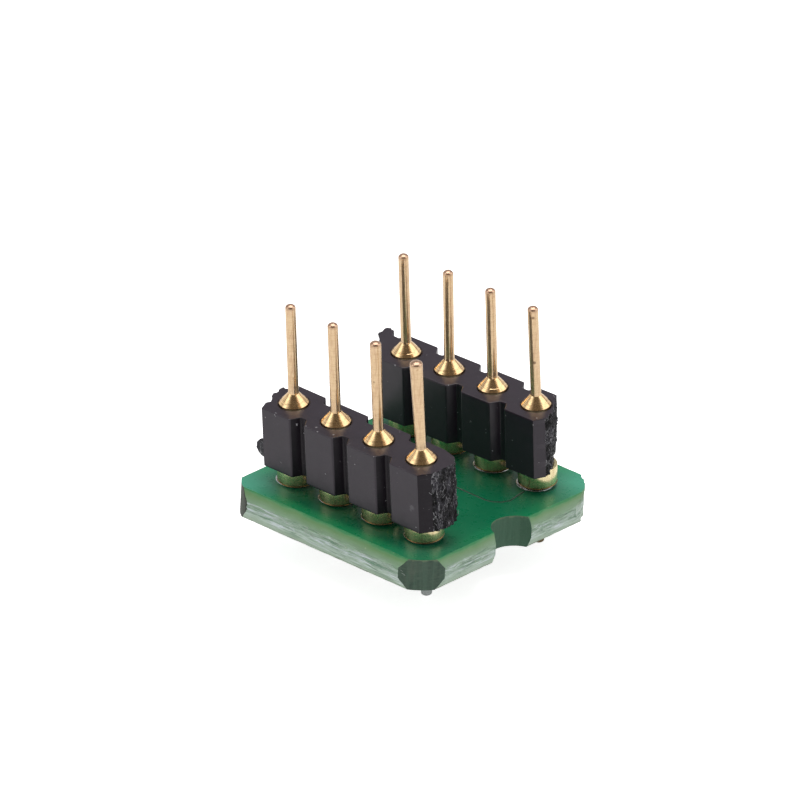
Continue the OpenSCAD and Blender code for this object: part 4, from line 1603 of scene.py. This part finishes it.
class AMPCHIP_OT_stage(bpy.types.Operator):
    """Set up the floor, the soft light and the camera"""
    bl_idname = "ampchip.stage"
    bl_label = "Stage"

    def execute(self, context):
        s = settings().stage
        self.camera(context, s)
        self.floor(s)
        self.lights(context, s)
        context.scene.view_settings.view_transform = "Standard"
        return {"FINISHED"}

    def camera(self, context, s):
        """Places the camera by its turn, its height and its distance from the target."""
        a, e, r = s.azimuth, s.elevation, s.roll
        back = Vector((math.sin(a) * math.cos(e), -math.cos(a) * math.cos(e), math.sin(e)))
        right = Vector((math.cos(a), math.sin(a), 0.0))
        up = back.cross(right)
        right, up = right * math.cos(r) + up * math.sin(r), up * math.cos(r) - right * math.sin(r)
        data = bpy.data.cameras.new("camera")
        data.lens, data.sensor_width = s.focal, SENSOR_WIDTH
        data.clip_start, data.clip_end = CLIP
        camera = show("camera", data)
        matrix = Matrix((right, up, back)).transposed().to_4x4()
        matrix.translation = (Vector(s.target) + back * s.distance) * MM
        camera.matrix_world = matrix
        context.scene.camera = camera

    def floor(self, s):
        """Makes a pale floor that shows the module's shadow and fades into the room."""
        coat = Coat("pale_floor")
        camera, glossy, through = rays(coat.tree)
        seen = camera.math("MAXIMUM", glossy).math("MAXIMUM", through)
        coat.set(Base_Color=(*s.floor, 1.0), Roughness=0.8, Specular_IOR_Level=0.0,
                 Emission_Color=FLOOR_GLOW_COLOR,
                 Emission_Strength=seen * camera.mix(s.floor_shine, s.floor_glow))
        half = FLOOR_HALF / MM
        mesh = plain_mesh("floor", [(-half, -half, 0), (half, -half, 0), (half, half, 0), (-half, half, 0)],
                          faces=[(0, 1, 2, 3)])
        mesh.materials.append(coat.material)
        floor = show("floor", mesh)
        floor.location.z = -FLOOR_DROP

    def room(self, tree, s, glossy, through):
        """The room as metal and glossy plastic show it: white walls, a dimmer ceiling, soft boxes
        at both sides, and the dark place where the camera stands."""
        x, y, high = result(tree, "ShaderNodeTexCoord", output="Generated").parts()
        flat = (x.math("POWER", 2.0) + y.math("POWER", 2.0)).math("SQRT").math("MAXIMUM", 0.001)

        def facing(turn):
            """Cosine of the angle between a direction over the floor and one from the module."""
            return (x * math.sin(turn) + y * -math.cos(turn)) / flat

        def within(cosine, start, end):
            """A share from 0 at one angle to 1 at another, in degrees."""
            return cosine.span(math.cos(math.radians(start)), math.cos(math.radians(end)), smooth=True)

        ahead = facing(s.azimuth)
        front = within(ahead, 52, 26)
        sides = within(ahead, 48, 72) * within(facing(s.azimuth + math.radians(BOX_TURN)), 114, 100)
        box = high.span(0.22, 0.36, smooth=True) * high.span(0.94, 0.86, smooth=True)
        shade_up = high.span(0.10, 0.40, s.backdrop, s.ceiling, smooth=True)
        shown = glossy.math("MAXIMUM", through)
        seen = (sides * box).mix(shade_up, s.soft_boxes) * front.span(0.0, 1.0, 1.0, s.camera_side)
        return (shown * seen + (1.0 - shown) * s.walls,
                (shown * front).tint((1.0, 1.0, 1.0), CAMERA_SIDE_COLOR))

    def lights(self, context, s):
        """Lights the module with the room and one soft light overhead."""
        world = bpy.data.worlds.new("room")
        context.scene.world = world
        world.use_nodes = True
        tree = world.node_tree
        camera, glossy, through = rays(tree)
        level, color = self.room(tree, s, glossy, through)
        ground = tree.nodes["Background"]
        tree.links.new(color.socket, ground.inputs["Color"])
        tree.links.new(camera.mix(level, 1.0).socket, ground.inputs["Strength"])
        data = bpy.data.lights.new("top_light", "AREA")
        data.shape, data.size, data.energy = "SQUARE", TOP_LIGHT_SIZE, s.top_light
        light = show("top_light", data)
        light.location = TOP_LIGHT_PLACE
        light.rotation_euler = (-Vector(TOP_LIGHT_PLACE)).to_track_quat("-Z", "Y").to_euler()


class AMPCHIP_PT_panel(bpy.types.Panel):
    """The module's builders and settings"""
    bl_idname = "AMPCHIP_PT_panel"
    bl_label = "Amplifier Chip"
    bl_space_type = "VIEW_3D"
    bl_region_type = "UI"
    bl_category = "Amplifier Chip"

    def draw(self, context):
        """Shows a button for each builder and a box for each group of settings."""
        layout = self.layout
        for operator in OPERATORS:
            layout.operator(operator.bl_idname)
        for group in GROUPS:
            box = layout.box()
            data = getattr(context.scene, group)
            for key in data.bl_rna.properties.keys():
                if key not in ("rna_type", "name"):
                    box.prop(data, key)


GROUPS = {"amp_board": BoardSettings, "amp_header": HeaderSettings, "amp_pin": PinSettings,
          "amp_chip": ChipSettings, "amp_stage": StageSettings}
OPERATORS = (AMPCHIP_OT_board, AMPCHIP_OT_headers, AMPCHIP_OT_pins, AMPCHIP_OT_pin_solder,
             AMPCHIP_OT_chip, AMPCHIP_OT_leads, AMPCHIP_OT_stage)


def register():
    """Adds the settings, the builders and the panel."""
    for name, group in GROUPS.items():
        bpy.utils.register_class(group)
        setattr(bpy.types.Scene, name, PointerProperty(type=group))
    for cls in (*OPERATORS, AMPCHIP_PT_panel):
        bpy.utils.register_class(cls)


def unregister():
    """Takes them away again."""
    for cls in reversed((*OPERATORS, AMPCHIP_PT_panel)):
        bpy.utils.unregister_class(cls)
    for name, group in GROUPS.items():
        delattr(bpy.types.Scene, name)
        bpy.utils.unregister_class(group)


def main():
    """Builds the module and its stage."""
    register()
    bpy.ops.ampchip.board()
    bpy.ops.ampchip.headers()
    bpy.ops.ampchip.pins()
    bpy.ops.ampchip.pin_solder()
    bpy.ops.ampchip.chip()
    bpy.ops.ampchip.leads()
    bpy.ops.ampchip.stage()


if __name__ == "__main__":
    main()
